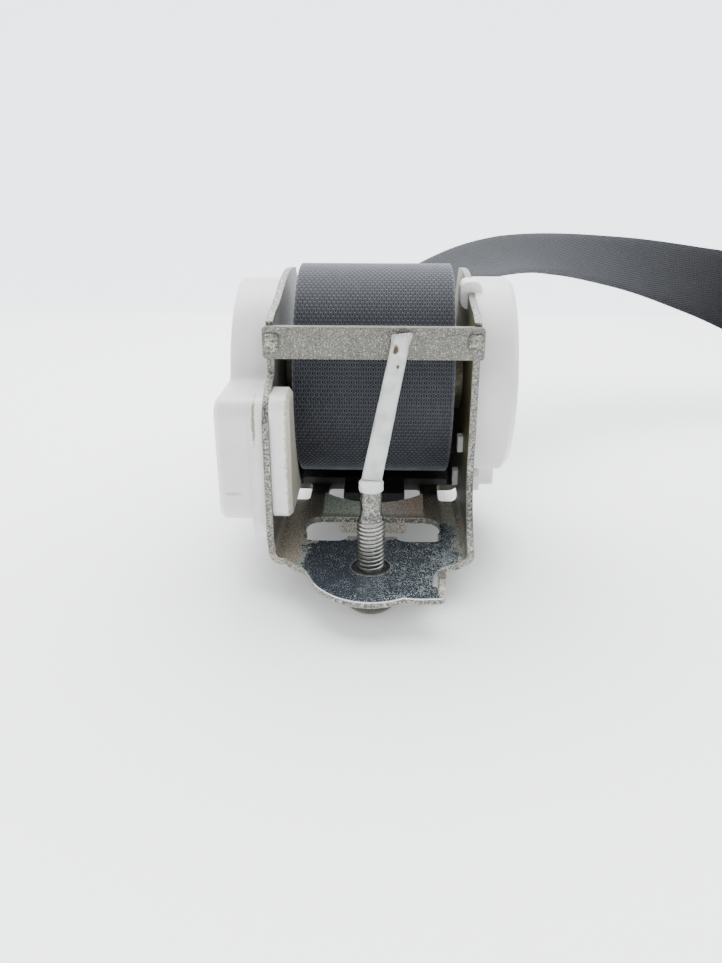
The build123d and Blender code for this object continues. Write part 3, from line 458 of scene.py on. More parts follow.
milkyLook = {
    "colour": (0.79, 0.78, 0.752),
    "shade": (0.71, 0.70, 0.665),
    "roughness": 0.38,
    "paintedOliveShade": (0.22, 0.19, 0.085),
    "cloud": (60.0, 4.0),
    "grain": (1500.0, 2.0),
    "glowWeight": 0.3,
    "glowReach": (0.004, 0.004, 0.0035),
    "fading": 4,
    "bump": (0.00003, 0.3),
}
spotLook = {"ragged": (800.0, 3.0, 0.7), "raggedShare": 1.4, "edge": (1.75, 1.25)}


def spot(tree, place, first, second, centre, reach):
    # A ragged patch about a centre, measured along two of the axes, all in millimetres
    across = calc(tree, "DIVIDE", calc(tree, "SUBTRACT", first, centre[0] * mm), reach[0] * mm)
    along = calc(tree, "DIVIDE", calc(tree, "SUBTRACT", second, centre[1] * mm), reach[1] * mm)
    ragged = noise(tree, place, *spotLook["ragged"])
    ragged = calc(tree, "MULTIPLY", ragged, spotLook["raggedShare"])
    return ramped(tree, calc(tree, "ADD", reachFrom(tree, across, along), ragged), *spotLook["edge"])


def milkyPlastic(name, paintedShades=()):
    # Each of the painted shades is an olive patch of painted shade: a centre and a reach along X and Z, the
    # furthest Y it spreads to, all in millimetres, and its strength
    material, tree, shader = startMaterial(name, milkyLook["roughness"])
    place, x, y, z = coordinates(tree)
    cloud = noise(tree, place, *milkyLook["cloud"])
    base = colourRamp(tree, cloud, [(0.3, milkyLook["shade"]), (0.6, milkyLook["colour"])])
    for centre, reach, rear, strength in paintedShades:
        fading = ramped(tree, y, rear * mm, (rear - milkyLook["fading"]) * mm)
        patch = both(tree, spot(tree, place, x, z, centre, reach), fading)
        base = mixColour(tree, calc(tree, "MULTIPLY", patch, strength), base, milkyLook["paintedOliveShade"])
    tree.links.new(base, shader.inputs["Base Color"])
    translucent(shader, milkyLook["glowWeight"], milkyLook["glowReach"])
    grain = noise(tree, place, *milkyLook["grain"])
    tree.links.new(bump(tree, grain, *milkyLook["bump"]), shader.inputs["Normal"])
    return material


boltLook = {
    "metallic": 0.95,
    "thread": [(0.35, (0.20, 0.20, 0.185)), (0.62, (0.33, 0.33, 0.31))],
    "under": (0.10, 0.096, 0.075),
    "underFrom": (0.0, -1.0 * mm),
    "underShare": 0.9,
    "underTarnish": 0.5,
    "grainShare": 0.12,
    "burnt": [(0.36, (0.04, 0.04, 0.035)), (0.50, (0.125, 0.122, 0.108)), (0.64, (0.37, 0.37, 0.35))],
    "neckFrom": (17.0 * mm, 18.6 * mm),
    "neckRagged": 2.0 * mm,
    "roughness": 0.28,
    "grain": (1500.0, 3.0, 0.7),
    "crackle": (1500.0, 4.0, 0.8),
    "bump": (0.00012, 0.6),
}


def boltSurface(name):
    # Rolled thread, with the burnt rough neck above it and a dull head below the frame
    material, tree, shader = startMaterial(name, boltLook["roughness"], boltLook["metallic"])
    place, _, _, z = coordinates(tree)
    grain = noise(tree, place, *boltLook["grain"])
    base = colourRamp(tree, grain, boltLook["thread"])
    under = ramped(tree, z, *boltLook["underFrom"])
    dulled = calc(tree, "MULTIPLY", under, boltLook["underShare"])
    base = mixColour(tree, dulled, base, boltLook["under"])
    crackle = noise(tree, place, *boltLook["crackle"])
    burnt = colourRamp(tree, crackle, boltLook["burnt"])
    ragged = calc(tree, "MULTIPLY", crackle, boltLook["neckRagged"])
    neck = ramped(tree, calc(tree, "ADD", z, ragged), *boltLook["neckFrom"])
    tree.links.new(mixColour(tree, neck, base, burnt), shader.inputs["Base Color"])
    tarnish = calc(tree, "MULTIPLY", under, boltLook["underTarnish"])
    metal = calc(tree, "SUBTRACT", boltLook["metallic"], tarnish)
    tree.links.new(metal, shader.inputs["Metallic"])
    fine = calc(tree, "MULTIPLY", grain, boltLook["grainShare"])
    height = calc(tree, "ADD", fine, calc(tree, "MULTIPLY", crackle, neck))
    tree.links.new(bump(tree, height, *boltLook["bump"]), shader.inputs["Normal"])
    return material


keeperLook = {
    "dirt": (((6.2, 62.4), (1.0, 1.5)), ((6.9, 58.0), (0.5, 0.7))),
    "dirtColour": (0.10, 0.055, 0.025),
    "clear": [(0.3, (0.58, 0.585, 0.56)), (0.6, (0.76, 0.765, 0.74))],
    "cloud": (240.0, 3.0),
    "grain": (900.0, 3.0),
    "roughness": 0.3,
    "glowWeight": 0.5,
    "glowReach": (0.003, 0.003, 0.0028),
    "bump": (0.00006, 0.5),
}


def keeperPlastic(name):
    # Clearer than the covers, with brown dirt caught near its torn upper end
    material, tree, shader = startMaterial(name, keeperLook["roughness"])
    place, x, _, z = coordinates(tree)
    base = colourRamp(tree, noise(tree, place, *keeperLook["cloud"]), keeperLook["clear"])
    spots = [spot(tree, place, x, z, centre, reach) for centre, reach in keeperLook["dirt"]]
    base = mixColour(tree, calc(tree, "MAXIMUM", *spots), base, keeperLook["dirtColour"])
    tree.links.new(base, shader.inputs["Base Color"])
    translucent(shader, keeperLook["glowWeight"], keeperLook["glowReach"])
    grain = noise(tree, place, *keeperLook["grain"])
    tree.links.new(bump(tree, grain, *keeperLook["bump"]), shader.inputs["Normal"])
    return material


blackLook = {
    "roughness": 0.5,
    "grain": (1300.0, 2.0),
    "tones": [(0.3, (0.016, 0.016, 0.017)), (0.7, (0.028, 0.028, 0.030))],
    "bump": (0.00005, 0.5),
}


def blackPlastic(name):
    material, tree, shader = startMaterial(name, blackLook["roughness"])
    grain = noise(tree, objectPlace(tree), *blackLook["grain"])
    tree.links.new(colourRamp(tree, grain, blackLook["tones"]), shader.inputs["Base Color"])
    tree.links.new(bump(tree, grain, *blackLook["bump"]), shader.inputs["Normal"])
    return material


weave = {
    "across": 1.4 * mm,
    "along": 1.25 * mm,
    "slitWide": 0.17,
    "slitLong": 0.43,
    "slit": (0.002, 0.002, 0.003),
    "ring": (0.098, 0.104, 0.118),
    "field": (0.032, 0.0345, 0.039),
    "fringe": (0.10, 0.105, 0.12),
    "selvedge": (22.7 * mm, 23.3 * mm),
    "selvedgeShare": 0.5,
    "slitEdge": (0.55, 1.7),
    "yarn": (2600.0, 2.0, 0.7),
    "yarnTone": [(0.3, (0.72, 0.72, 0.73)), (0.7, (1.0, 1.0, 1.0))],
    "cloud": (70.0, 3.0),
    "cloudTone": [(0.3, (0.86, 0.86, 0.86)), (0.7, (1.0, 1.0, 1.0))],
    "roughness": 0.58,
    "gloss": 0.14,
    "sheen": 0.6,
    "sheenRoughness": 0.28,
    "sheenTint": (0.80, 0.86, 1.0, 1.0),
    "bump": (0.00022, 0.8),
}


def webbingCloth(name, strength, source="weave"):
    # Slits between the warp yarns, staggered row by row; the place is in metres, across then along
    material, tree, shader = startMaterial(name, weave["roughness"])
    if source == "weave":
        place = addNode(tree, "ShaderNodeUVMap", uv_map="weave").outputs["UV"]
        parts = addNode(tree, "ShaderNodeSeparateXYZ", [(0, place)])
        u, v = parts.outputs[0], parts.outputs[1]
        centred = u
    else:
        place, _, v, u = coordinates(tree)
        centred = calc(tree, "SUBTRACT", u, source)
    rows = calc(tree, "DIVIDE", v, weave["along"])
    shift = calc(tree, "MULTIPLY", calc(tree, "MODULO", calc(tree, "FLOOR", rows), 2.0), 0.5)
    columns = calc(tree, "ADD", calc(tree, "DIVIDE", u, weave["across"]), calc(tree, "ABSOLUTE", shift))
    fx = calc(tree, "SUBTRACT", calc(tree, "FRACT", columns), 0.5)
    fy = calc(tree, "SUBTRACT", calc(tree, "FRACT", rows), 0.5)
    wide = calc(tree, "POWER", calc(tree, "ABSOLUTE", calc(tree, "DIVIDE", fx, weave["slitWide"])), 2.0)
    long = calc(tree, "POWER", calc(tree, "ABSOLUTE", calc(tree, "DIVIDE", fy, weave["slitLong"])), 2.0)
    distance = calc(tree, "SQRT", calc(tree, "ADD", wide, long))
    height = ramped(tree, distance, *weave["slitEdge"])
    # The strength scales the cloth's colours, so that copies of the webbing are painted lighter and darker
    # for the light they stand in
    dim = [tuple(c * strength for c in weave[key]) for key in ("ring", "field")]
    cloth = colourRamp(tree, height, [(0.10, weave["slit"]), (0.45, dim[0]), (1.0, dim[1])])
    tone = colourRamp(tree, noise(tree, place, *weave["yarn"]), weave["yarnTone"])
    cloth = mixColour(tree, 1.0, cloth, tone, "MULTIPLY")
    cloud = colourRamp(tree, noise(tree, place, *weave["cloud"]), weave["cloudTone"])
    cloth = mixColour(tree, 1.0, cloth, cloud, "MULTIPLY")
    selvedge = ramped(tree, calc(tree, "ABSOLUTE", centred), *weave["selvedge"])
    selvedge = calc(tree, "MULTIPLY", selvedge, weave["selvedgeShare"])
    cloth = mixColour(tree, selvedge, cloth, tuple(c * strength for c in weave["fringe"]))
    tree.links.new(cloth, shader.inputs["Base Color"])
    tree.links.new(bump(tree, height, *weave["bump"]), shader.inputs["Normal"])
    shader.inputs["Specular IOR Level"].default_value = weave["gloss"]
    shader.inputs["Sheen Weight"].default_value = weave["sheen"] * strength
    shader.inputs["Sheen Roughness"].default_value = weave["sheenRoughness"]
    shader.inputs["Sheen Tint"].default_value = weave["sheenTint"]
    return material


surfaces = {
    "zinc_steel": zincSteel("zincSteel"),
    # The peened heads use a paler copy of the zinc: painted highlights for the whitish light on their lumps
    "peened": zincSteel("peenedZinc", 2.2),
    "bolt_steel": toolSteel("boltSteel", (0.58, 0.575, 0.55), 0.3),
    "spring_steel": toolSteel("springSteel", (0.36, 0.37, 0.39), 0.30),
    "plate_steel": toolSteel("plateSteel", (0.74, 0.74, 0.75), 0.16),
    "cast_alloy": toolSteel("castAlloy", (0.17, 0.16, 0.11), 0.5),
    "white_plastic": milkyPlastic("milkyPlastic"),
    "keeper_plastic": keeperPlastic("keeperPlastic"),
    "black_plastic": blackPlastic("blackPlastic"),
    "webbing": webbingCloth("rollCloth", 1.0),
    "thread": blackPlastic("lapThread"),
}
lapLow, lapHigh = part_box("strap_end")
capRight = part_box("sensor_cap")[1].x / mm
special = {
    "frame": zincFrame("zincFrame"),
    # Painted shade: olive patches along the seams of the lock cover and the mechanism plate, and along the
    # sensor cap's right side
    "lock_cover": milkyPlastic("lockCoverPlastic", [((-39.2, 22.3), (2.6, 0.5), 9, 0.45)]),
    "mechanism_plate": milkyPlastic("mechanismPlastic", [((-32.5, 43.5), (0.6, 7.5), 14, 0.9)]),
    "sensor_cap": milkyPlastic("sensorCapPlastic", [((capRight, 34.0), (1.7, 30.0), 60, 0.65)]),
    "strap_end": webbingCloth("lapCloth", 0.6, (lapLow.z + lapHigh.z) / 2),
}
# Painted light and shade: the roll, the lap and the free strap are copies of one webbing, and the free strap,
# which stands in brighter light, is painted darkest
strapCloth = webbingCloth("strapCloth", 0.36)
for part in frame["record"]["subparts"]:
    node = nodes[part["node"]]
    node.data.materials.clear()
    node.data.materials.append(special.get(part["node"], surfaces[part["material_slot"]]))
print("materials done")


def faceOutwards():
    # Ends the edit of a closed mesh with its faces pointing outwards
    bpy.ops.mesh.select_all(action="SELECT")
    bpy.ops.mesh.normals_make_consistent(inside=False)
    bpy.ops.object.mode_set(mode="OBJECT")


def clearElements(kind):
    # Deselects everything in the mesh and sets which kind of element is picked next
    bpy.ops.object.mode_set(mode="EDIT")
    bpy.ops.mesh.select_mode(type=kind)
    bpy.ops.mesh.select_all(action="DESELECT")
    bpy.ops.object.mode_set(mode="OBJECT")


def joinTo(piece, extra):
    clearSelection()
    extra.select_set(True)
    piece.select_set(True)
    bpy.context.view_layer.objects.active = piece
    bpy.ops.object.join()


# Turned pieces are drawn up ring by ring from a circle; sizes in millimetres about the bolt's axis

def turned(name, rings, sides):
    clearSelection()
    radius, height = rings[0]
    bpy.ops.mesh.primitive_circle_add(
        vertices=sides, radius=radius * mm, fill_type="NGON", location=(0, 0, height * mm)
    )
    piece = bpy.context.object
    piece.name = name
    settle(piece)
    bpy.ops.object.mode_set(mode="EDIT")
    bpy.ops.mesh.select_mode(type="FACE")
    bpy.ops.mesh.select_all(action="SELECT")
    for (radius, height), (nextRadius, nextHeight) in zip(rings, rings[1:]):
        bpy.ops.mesh.extrude_region_move(TRANSFORM_OT_translate={"value": (0, 0, (nextHeight - height) * mm)})
        grow = nextRadius / radius
        bpy.ops.transform.resize(value=(grow, grow, 1), center_override=(0, 0, nextHeight * mm))
    faceOutwards()
    return piece


def roughen(piece, amount, seed, chosen):
    # Shifts the chosen points a little, by a fixed seed
    only(piece)
    clearElements("VERT")
    for vertex in piece.data.vertices:
        vertex.select = chosen(vertex.co)
    bpy.ops.object.mode_set(mode="EDIT")
    bpy.ops.transform.vertex_random(offset=amount, uniform=0.2, normal=0.3, seed=seed)
    bpy.ops.object.mode_set(mode="OBJECT")


def applyAll(piece):
    only(piece)
    for modifier in list(piece.modifiers):
        bpy.ops.object.modifier_apply(modifier=modifier.name)


def finishPiece(piece, material, body, angle):
    only(piece)
    bpy.ops.object.shade_smooth_by_angle(angle=math.radians(angle))
    piece.data.materials.clear()
    piece.data.materials.append(material)
    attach(piece, body)


stitch = {
    "rows": 4,
    "rowStep": 3.5 * mm,
    "perRow": 13,
    "step": 3.2 * mm,
    "size": (0.24 * mm, 0.24 * mm, 1.25 * mm),
    "firstRow": 71.6 * mm,
    "faces": {"lapStitchesInner": 251.0 * mm, "lapStitchesOuter": 253.6 * mm},
}


def makeStitches():
    # Rows of thread across the lap, one grain of thread copied by two arrays
    middle = (lapLow.z + lapHigh.z) / 2
    found = []
    for name, face in stitch["faces"].items():
        clearSelection()
        start = middle - (stitch["perRow"] - 1) / 2 * stitch["step"]
        bpy.ops.mesh.primitive_uv_sphere_add(
            segments=8, ring_count=6, radius=1, location=(face, stitch["firstRow"], start)
        )
        piece = bpy.context.object
        piece.name = name
        piece.scale = stitch["size"]
        settle(piece)
        repeats = ((stitch["perRow"], (0, 0, stitch["step"])), (stitch["rows"], (0, stitch["rowStep"], 0)))
        for count, shift in repeats:
            copies = piece.modifiers.new("copies", "ARRAY")
            copies.count = count
            copies.use_relative_offset = False
            copies.use_constant_offset = True
            copies.constant_offset_displace = shift
        applyAll(piece)
        finishPiece(piece, surfaces["thread"], "retractor", 60)
        found.append(piece)
    return found


# Free webbing, the same stations as the model's: centre in millimetres and lean in degrees
# Width and thickness are in millimetres, the length in metres
strap = {
    "width": 47.0,
    "thickness": 1.2,
    "length": 0.829,
    "carries": ("strap_end", "tongue_plate", "tongue_grip", "tongue_stop", "anchor_plate"),
    "stations": [
        ((0, 78.25, 22.05), 0),
        ((0, 84.52, 28.32), 0),
        ((0, 90.8, 34.59), 0),
        ((2.9, 115.1, 45.6), -6),
        ((12.9, 143.7, 55.4), -8),
        ((34.9, 169.3, 64.2), 2),
        ((68.0, 193.5, 68.7), 16),
        ((116.5, 204.7, 62.8), 27),
        ((160.7, 206.5, 52.6), 40),
        ((197.7, 200.5, 42.0), 56),
        ((233.0, 186.0, 33.0), 72),
        ((264.0, 164.0, 24.6), 84),
        ((284.0, 139.0, 21.1), 90),
        ((288.0, 114.0, 20.6), 90),
        ((288.0, 97.0, 20.6), 90),
        ((288.0, 80.0, 20.6), 90),
        ((288.0, 63.0, 20.6), 90),
        ((288.0, 46.0, 20.6), 90),
        ((286.5, 29.0, 19.1), 90),
        ((276.0, 8.0, 16.1), 90),
        ((254.0, -4.0, 13.6), 90),
        ((222.0, -5.0, 13.3), 90),
        ((192.0, 10.0, 13.3), 90),
        ((176.0, 41.0, 13.3), 90),
        ((178.0, 76.0, 13.3), 90),
        ((195.0, 106.0, 14.6), 90),
        ((224.0, 121.0, 17.6), 90),
        ((247.0, 110.0, 18.6), 90),
        ((253.0, 88.0, 18.6), 90),
        ((253.0, 70.0, 18.6), 90),
    ],
    "across": 16,
    "edgePower": 10,
    "edgeThin": 0.75,
}


def smoothLine(points):
    # Points of the smooth spline whose control points are given, as the curve itself has them
    curve = bpy.data.curves.new("routeLine", "CURVE")
    curve.dimensions = "3D"
    curve.resolution_u = 8
    spline = curve.splines.new("NURBS")
    spline.points.add(len(points) - 1)
    for point, place in zip(spline.points, points):
        point.co = (*[c * mm for c in place], 1.0)
    spline.order_u = 3
    spline.use_endpoint_u = True
    carrier = bpy.data.objects.new("routeLine", curve)
    bpy.context.collection.objects.link(carrier)
    line = bpy.data.meshes.new_from_object(carrier)
    found = [v.co.copy() for v in line.vertices]
    bpy.data.objects.remove(carrier)
    bpy.data.meshes.remove(line)
    return found


def runningLength(points):
    total = [0.0]
    for before, after in zip(points, points[1:]):
        total.append(total[-1] + (after - before).length)
    return total


def valueAt(places, values, x):
    for (a, b), (u, v) in zip(zip(places, places[1:]), zip(values, values[1:])):
        if x <= b:
            return u + (v - u) * (x - a) / (b - a)
    return values[-1]


def makeStrap(extras):
    centres = smoothLine([place for place, lean in strap["stations"]])
    along = runningLength(centres)
    corners = [Vector(place) * mm for place, lean in strap["stations"]]
    cornerAlong = [c / runningLength(corners)[-1] * along[-1] for c in runningLength(corners)]
    leans = [math.radians(lean) for place, lean in strap["stations"]]
    half = strap["width"] / 2 * mm
    thick = strap["thickness"] / 2 * mm
    count = strap["across"]
    verts, uvs, faces = [], [], []
    for index, centre in enumerate(centres):
        before = centres[max(index - 1, 0)]
        after = centres[min(index + 1, len(centres) - 1)]
        ahead = (after - before).normalized()
        right = ahead.cross(Vector((0, 0, 1))).normalized()
        above = right.cross(ahead)
        lean = valueAt(cornerAlong, leans, along[index])
        wide = right * math.cos(lean) - above * math.sin(lean)
        out = wide.cross(ahead).normalized()
        # Points round the band, which is thinner at its two edges
        ring = []
        for side in (1, -1):
            for step in range(count + 1):
                share = (2 * step / count - 1) * side
                rise = thick * (1 - abs(share) ** strap["edgePower"] * strap["edgeThin"])
                ring.append((centre + wide * half * share + out * rise * side, (half * share, along[index])))
        verts += [place for place, uv in ring]
        uvs += [uv for place, uv in ring]
    size = 2 * (count + 1)
    for index in range(len(centres) - 1):
        for step in range(size):
            a = index * size + step
            b = index * size + (step + 1) % size
            faces.append((a, b, b + size, a + size))
    faces.append(tuple(range(size))[::-1])
    faces.append(tuple(range(len(verts) - size, len(verts))))
    mesh = bpy.data.meshes.new("freeWebbing")
    mesh.from_pydata(verts, [], faces)
    layer = mesh.uv_layers.new(name="weave")
    for loop in mesh.loops:
        layer.data[loop.index].uv = uvs[loop.vertex_index]
    piece = bpy.data.objects.new("freeWebbing", mesh)
    bpy.context.collection.objects.link(piece)
    only(piece)
    bpy.ops.object.mode_set(mode="EDIT")
    faceOutwards()
    bpy.ops.object.shade_smooth_by_angle(angle=math.radians(40))
    mesh.materials.append(strapCloth)
    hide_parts("strap_run", "strap_loop")
    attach(piece, "retractor")
    print("free webbing", round(along[-1], 3), "m")


makeStrap(makeStitches())


# Webbing wound on the spool
roll = {"sides": 160, "edgeRound": 0.35 * mm, "core": 13.0 * mm}


def makeRoll():
    clearSelection()
    bpy.ops.mesh.primitive_cylinder_add(
        vertices=roll["sides"], radius=spool["radius"], depth=spool["width"], end_fill_type="NGON",
        location=((rollLow.x + rollHigh.x) / 2, spool["y"], spool["z"]), rotation=(0, math.pi / 2, 0),
    )
    piece = bpy.context.object
    piece.name = "woundWebbing"
    settle(piece)
    clearElements("FACE")
    for face in piece.data.polygons:
        face.select = abs(face.normal.x) > 0.9
    bpy.ops.object.mode_set(mode="EDIT")
    bpy.ops.mesh.inset(thickness=spool["radius"] - roll["core"], depth=0)
    bpy.ops.mesh.bridge_edge_loops()
    bpy.ops.object.mode_set(mode="OBJECT")
    bevel = piece.modifiers.new("edge", "BEVEL")
    bevel.width = roll["edgeRound"]
    bevel.segments = 2
    bevel.angle_limit = math.radians(50)
    only(piece)
    bpy.ops.object.modifier_apply(modifier=bevel.name)
    bpy.ops.object.shade_smooth_by_angle(angle=math.radians(30))
    layer = piece.data.uv_layers.get("UVMap") or piece.data.uv_layers.new(name="weave")
    layer.name = "weave"
    for face in piece.data.polygons:
        turns = []
        for index in face.loop_indices:
            place = piece.data.vertices[piece.data.loops[index].vertex_index].co
            turns.append(math.atan2(place.z - spool["z"], place.y - spool["y"]))
        wrap = max(turns) - min(turns) > math.pi
        for index, turn in zip(face.loop_indices, turns):
            place = piece.data.vertices[piece.data.loops[index].vertex_index].co
            if wrap and turn < 0:
                turn += 2 * math.pi
            away = math.hypot(place.z - spool["z"], place.y - spool["y"])
            if abs(face.normal.x) > 0.7:
                layer.data[index].uv = (away, turn * away)
            else:
                layer.data[index].uv = (place.x, turn * spool["radius"])
    piece.data.materials.clear()
    piece.data.materials.append(surfaces["webbing"])
    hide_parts("web_roll")
    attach(piece, "spool")
    print("roll done")


makeRoll()


# Sizes in millimetres; a ring is its radius and its height
bolt = {
    "sides": 48,
    "head": [
        (5.4, -10.4), (6.0, -10.3), (7.7, -8.6), (8.0, -8.1), (8.05, -7.6),
        (8.05, -2.1), (8.1, -1.7), (8.2, -1.6),
    ],
    "washer": [(8.25, -1.4), (8.3, -1.1), (8.3, -0.4), (8.1, -0.05), (7.6, 0.0)],
    "collar": [(5.3, 0.02), (5.3, 1.7), (5.2, 1.85)],
    "coreLow": 1.9,
    "core": 3.3,
    "crest": 4.0,
    "pitch": 1.25,
    "threadLow": 1.9,
    "threadTurns": 12,
    "ridgeHalf": 0.45,
    "ridgeProud": 0.02,
    "neckLow": 17.4,
    "neckHigh": 25.8,
    "neckRadius": 3.45,
    "neckTaper": 0.07,
    "neckSteps": 14,
    "neckRough": 0.16,
    "neckSmoothEnds": (0.3, 0.4),
    "tip": 2.93,
    "tipHigh": 26.9,
    "topRing": (2.3, 27.4),
    "socket": 3.4,
    "socketTop": -6.4,
    "socketDepth": 8,
}


def makeThread():
    # The ridge's six-sided section, swept up the bolt by a screw modifier
    middle = (bolt["core"] + bolt["crest"]) / 2
    clearSelection()
    bpy.ops.mesh.primitive_circle_add(
        vertices=6, radius=1.0, fill_type="NOTHING", location=(middle * mm, 0, bolt["threadLow"] * mm),
        rotation=(math.pi / 2, 0, 0),
    )
    ridge = bpy.context.object
    ridge.name = "boltThread"
    ridge.scale = ((bolt["crest"] - middle + bolt["ridgeProud"]) * mm, bolt["ridgeHalf"] * mm, 1)
    settle(ridge)
    screw = ridge.modifiers.new("helix", "SCREW")
    screw.axis = "Z"
    screw.screw_offset = bolt["pitch"] * mm
    screw.iterations = bolt["threadTurns"]
    screw.steps = screw.render_steps = 48
    applyAll(ridge)
    bpy.ops.object.mode_set(mode="EDIT")
    bpy.ops.mesh.select_all(action="SELECT")
    bpy.ops.mesh.remove_doubles(threshold=0.000002)
    bpy.ops.mesh.fill_holes(sides=12)
    faceOutwards()
    return ridge


def makeBolt():
    steps = bolt["neckSteps"]
    rise = (bolt["neckHigh"] - bolt["neckLow"]) / steps
    neck = [
        (max(bolt["tip"], bolt["neckRadius"] - bolt["neckTaper"] * step * 2), bolt["neckLow"] + rise * step)
        for step in range(steps + 1)
    ]
    rings = bolt["head"] + bolt["washer"] + bolt["collar"] + [(bolt["core"], bolt["coreLow"])] + neck
    rings += [(bolt["tip"], bolt["tipHigh"]), bolt["topRing"]]
    piece = turned("turnedBolt", rings, bolt["sides"])
    foot, head = bolt["neckSmoothEnds"]
    low, high = (bolt["neckLow"] + foot) * mm, (bolt["neckHigh"] - head) * mm
    roughen(piece, bolt["neckRough"] * mm, 5, lambda place: low < place.z < high)
    clearSelection()
    middle = bolt["socketTop"] - bolt["socketDepth"] / 2
    bpy.ops.mesh.primitive_cylinder_add(
        vertices=6, radius=bolt["socket"] * mm, depth=bolt["socketDepth"] * mm, location=(0, 0, middle * mm)
    )
    cutter = bpy.context.object
    settle(cutter)
    hollow = piece.modifiers.new("socket", "BOOLEAN")
    hollow.object = cutter
    hollow.operation = "DIFFERENCE"
    applyAll(piece)
    bpy.data.objects.remove(cutter)
    joinTo(piece, makeThread())
    finishPiece(piece, boltSurface("anchorBoltSteel"), "retractor", 40)
    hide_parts("anchor_bolt")
    print("bolt done,", len(piece.data.polygons), "faces")


# Sizes in millimetres, as for the bolt
keeper = {
    "collar": [
        (2.95, 27.5), (2.95, 25.95), (3.15, 25.9), (3.36, 26.05), (3.4, 26.3), (3.3, 27.3), (3.4, 27.5),
        (3.4, 28.1), (3.2, 28.5), (2.6, 28.8), (1.2, 28.8),
    ],
    "stripLow": (0.0, 0.0, 28.3),
    "stripHigh": (8.25, 14.4, 67.1),
    "width": 4.9,
    "thickness": 1.8,
    "sides": 40,
    "edgeRound": 0.45,
    "cuts": 9,
    "roughCollar": 0.08,
    "roughCollarFrom": 26.2,
    "roughStrip": 0.1,
    "roughEnd": 0.6,
    "endLong": 1.2,
    "slant": 1.3,
    "slantShare": 0.9,
    "slantPower": 6,
    "footWide": 1.04,
    "taper": 0.08,
}


def makeKeeper():
    collar = turned("boltKeeperStrip", keeper["collar"], keeper["sides"])
    roughen(collar, keeper["roughCollar"] * mm, 3, lambda place: place.z > keeper["roughCollarFrom"] * mm)
    low, high = Vector(keeper["stripLow"]) * mm, Vector(keeper["stripHigh"]) * mm
    line = high - low
    clearSelection()
    bpy.ops.mesh.primitive_cube_add(size=1)
    strip = bpy.context.object
    strip.scale = (keeper["width"] * mm, keeper["thickness"] * mm, line.length)
    settle(strip)
    bevel = strip.modifiers.new("round", "BEVEL")
    bevel.width = keeper["edgeRound"] * mm
    bevel.segments = 2
    applyAll(strip)
    bpy.ops.object.mode_set(mode="EDIT")
    bpy.ops.mesh.select_all(action="SELECT")
    bpy.ops.mesh.subdivide(number_cuts=keeper["cuts"])
    bpy.ops.object.mode_set(mode="OBJECT")
    top = line.length / 2
    roughen(strip, keeper["roughStrip"] * mm, 11, lambda place: True)
    roughen(strip, keeper["roughEnd"] * mm, 8, lambda place: place.z > top - keeper["endLong"] * mm)
    for vertex in strip.data.vertices:
        # The torn end slants down to the left, and the foot is a little wider
        if vertex.co.z > 0:
            share = keeper["slantShare"] - vertex.co.x / (keeper["width"] * mm)
            vertex.co.z -= share * keeper["slant"] * mm * (vertex.co.z / top) ** keeper["slantPower"]
        vertex.co.x *= keeper["footWide"] - keeper["taper"] * vertex.co.z / top
    strip.rotation_mode = "QUATERNION"
    wide = Vector((line.z, 0, -line.x)).normalized()
    deep = line.normalized().cross(wide)
    strip.rotation_quaternion = Matrix((wide, deep, line.normalized())).transposed().to_quaternion()
    strip.location = (low + high) / 2
    settle(strip)
    joinTo(collar, strip)
    finishPiece(collar, surfaces["keeper_plastic"], "retractor", 50)
    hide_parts("bolt_keeper")
    print("keeper done")


barLow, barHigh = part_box("tie_bar")
# Place in metres; size and roughness in millimetres
peened = {
    "x": 28.4 * mm,
    "y": barLow.y - 0.62 * mm,
    "z": (barLow.z + barHigh.z) / 2,
    "size": (2.0, 0.7, 2.5),
    "rough": 0.5,
    "fine": 0.09,
}


def makePeenedHeads():
    for side, seed in ((-1, 4), (1, 9)):
        clearSelection()
        bpy.ops.mesh.primitive_ico_sphere_add(
            subdivisions=4, radius=1.0, location=(side * peened["x"], peened["y"], peened["z"])
        )
        lump = bpy.context.object
        lump.name = "peenedHead" + ("Left" if side < 0 else "Right")
        lump.scale = [size * mm for size in peened["size"]]
        settle(lump)
        roughen(lump, peened["rough"] * mm, seed, lambda place: True)
        smooth = lump.modifiers.new("soften", "SMOOTH")
        smooth.factor = 0.5
        smooth.iterations = 2
        applyAll(lump)
        roughen(lump, peened["fine"] * mm, seed + 1, lambda place: True)
        finishPiece(lump, surfaces["peened"], "retractor", 60)


makeBolt()
makeKeeper()
makePeenedHeads()
print("hardware done")


# Table, room, light and camera; the stand's lengths are in metres
stand = {
    "low": -10.4 * mm,
    "tableEnd": 0.455,
    "table": (40, 20),
    "slab": 0.02,
    "ground": -0.75,
    "room": (60, 60),
    "wall": 4.0,
    "wallSize": (60, 30),
    "middle": 0.04,
    "fade": (0.025, 0.15),
    "under": (0.026, 0.052),
    "shade": (0.36, 0.355, 0.335),
    "glow": (0.95, 0.975, 1.0, 1.0),
    "leastGlow": 0.18,
    "moreGlow": 0.82,
    "roughness": 0.7,
    "gloss": 0.2,
    "air": (0.92, 0.95, 1.0, 1.0),
    "airLight": 0.72,
}
# Colour and glow of each piece of the stage
stageLook = {
    "table": ((0.94, 0.945, 0.95), 1.0),
    "roomFloor": ((0.87, 0.88, 0.90), 0.9),
    "backdrop": ((0.87, 0.88, 0.90), 1.9),
}
# Place, aim, size and power of each lamp
lamps = {
    "overhead": ((0.05, 0.12, 0.8), (0, 0.05, 0), (0.8, 0.6), 7.5),
    "window": ((-0.1, 0.40, 0.55), (0, 0.05, 0.03), (0.7, 0.3), 3.8),
    "frontLeft": ((-0.35, -0.75, 0.5), (0, 0.03, 0.0), (0.4, 0.4), 0.8),
}


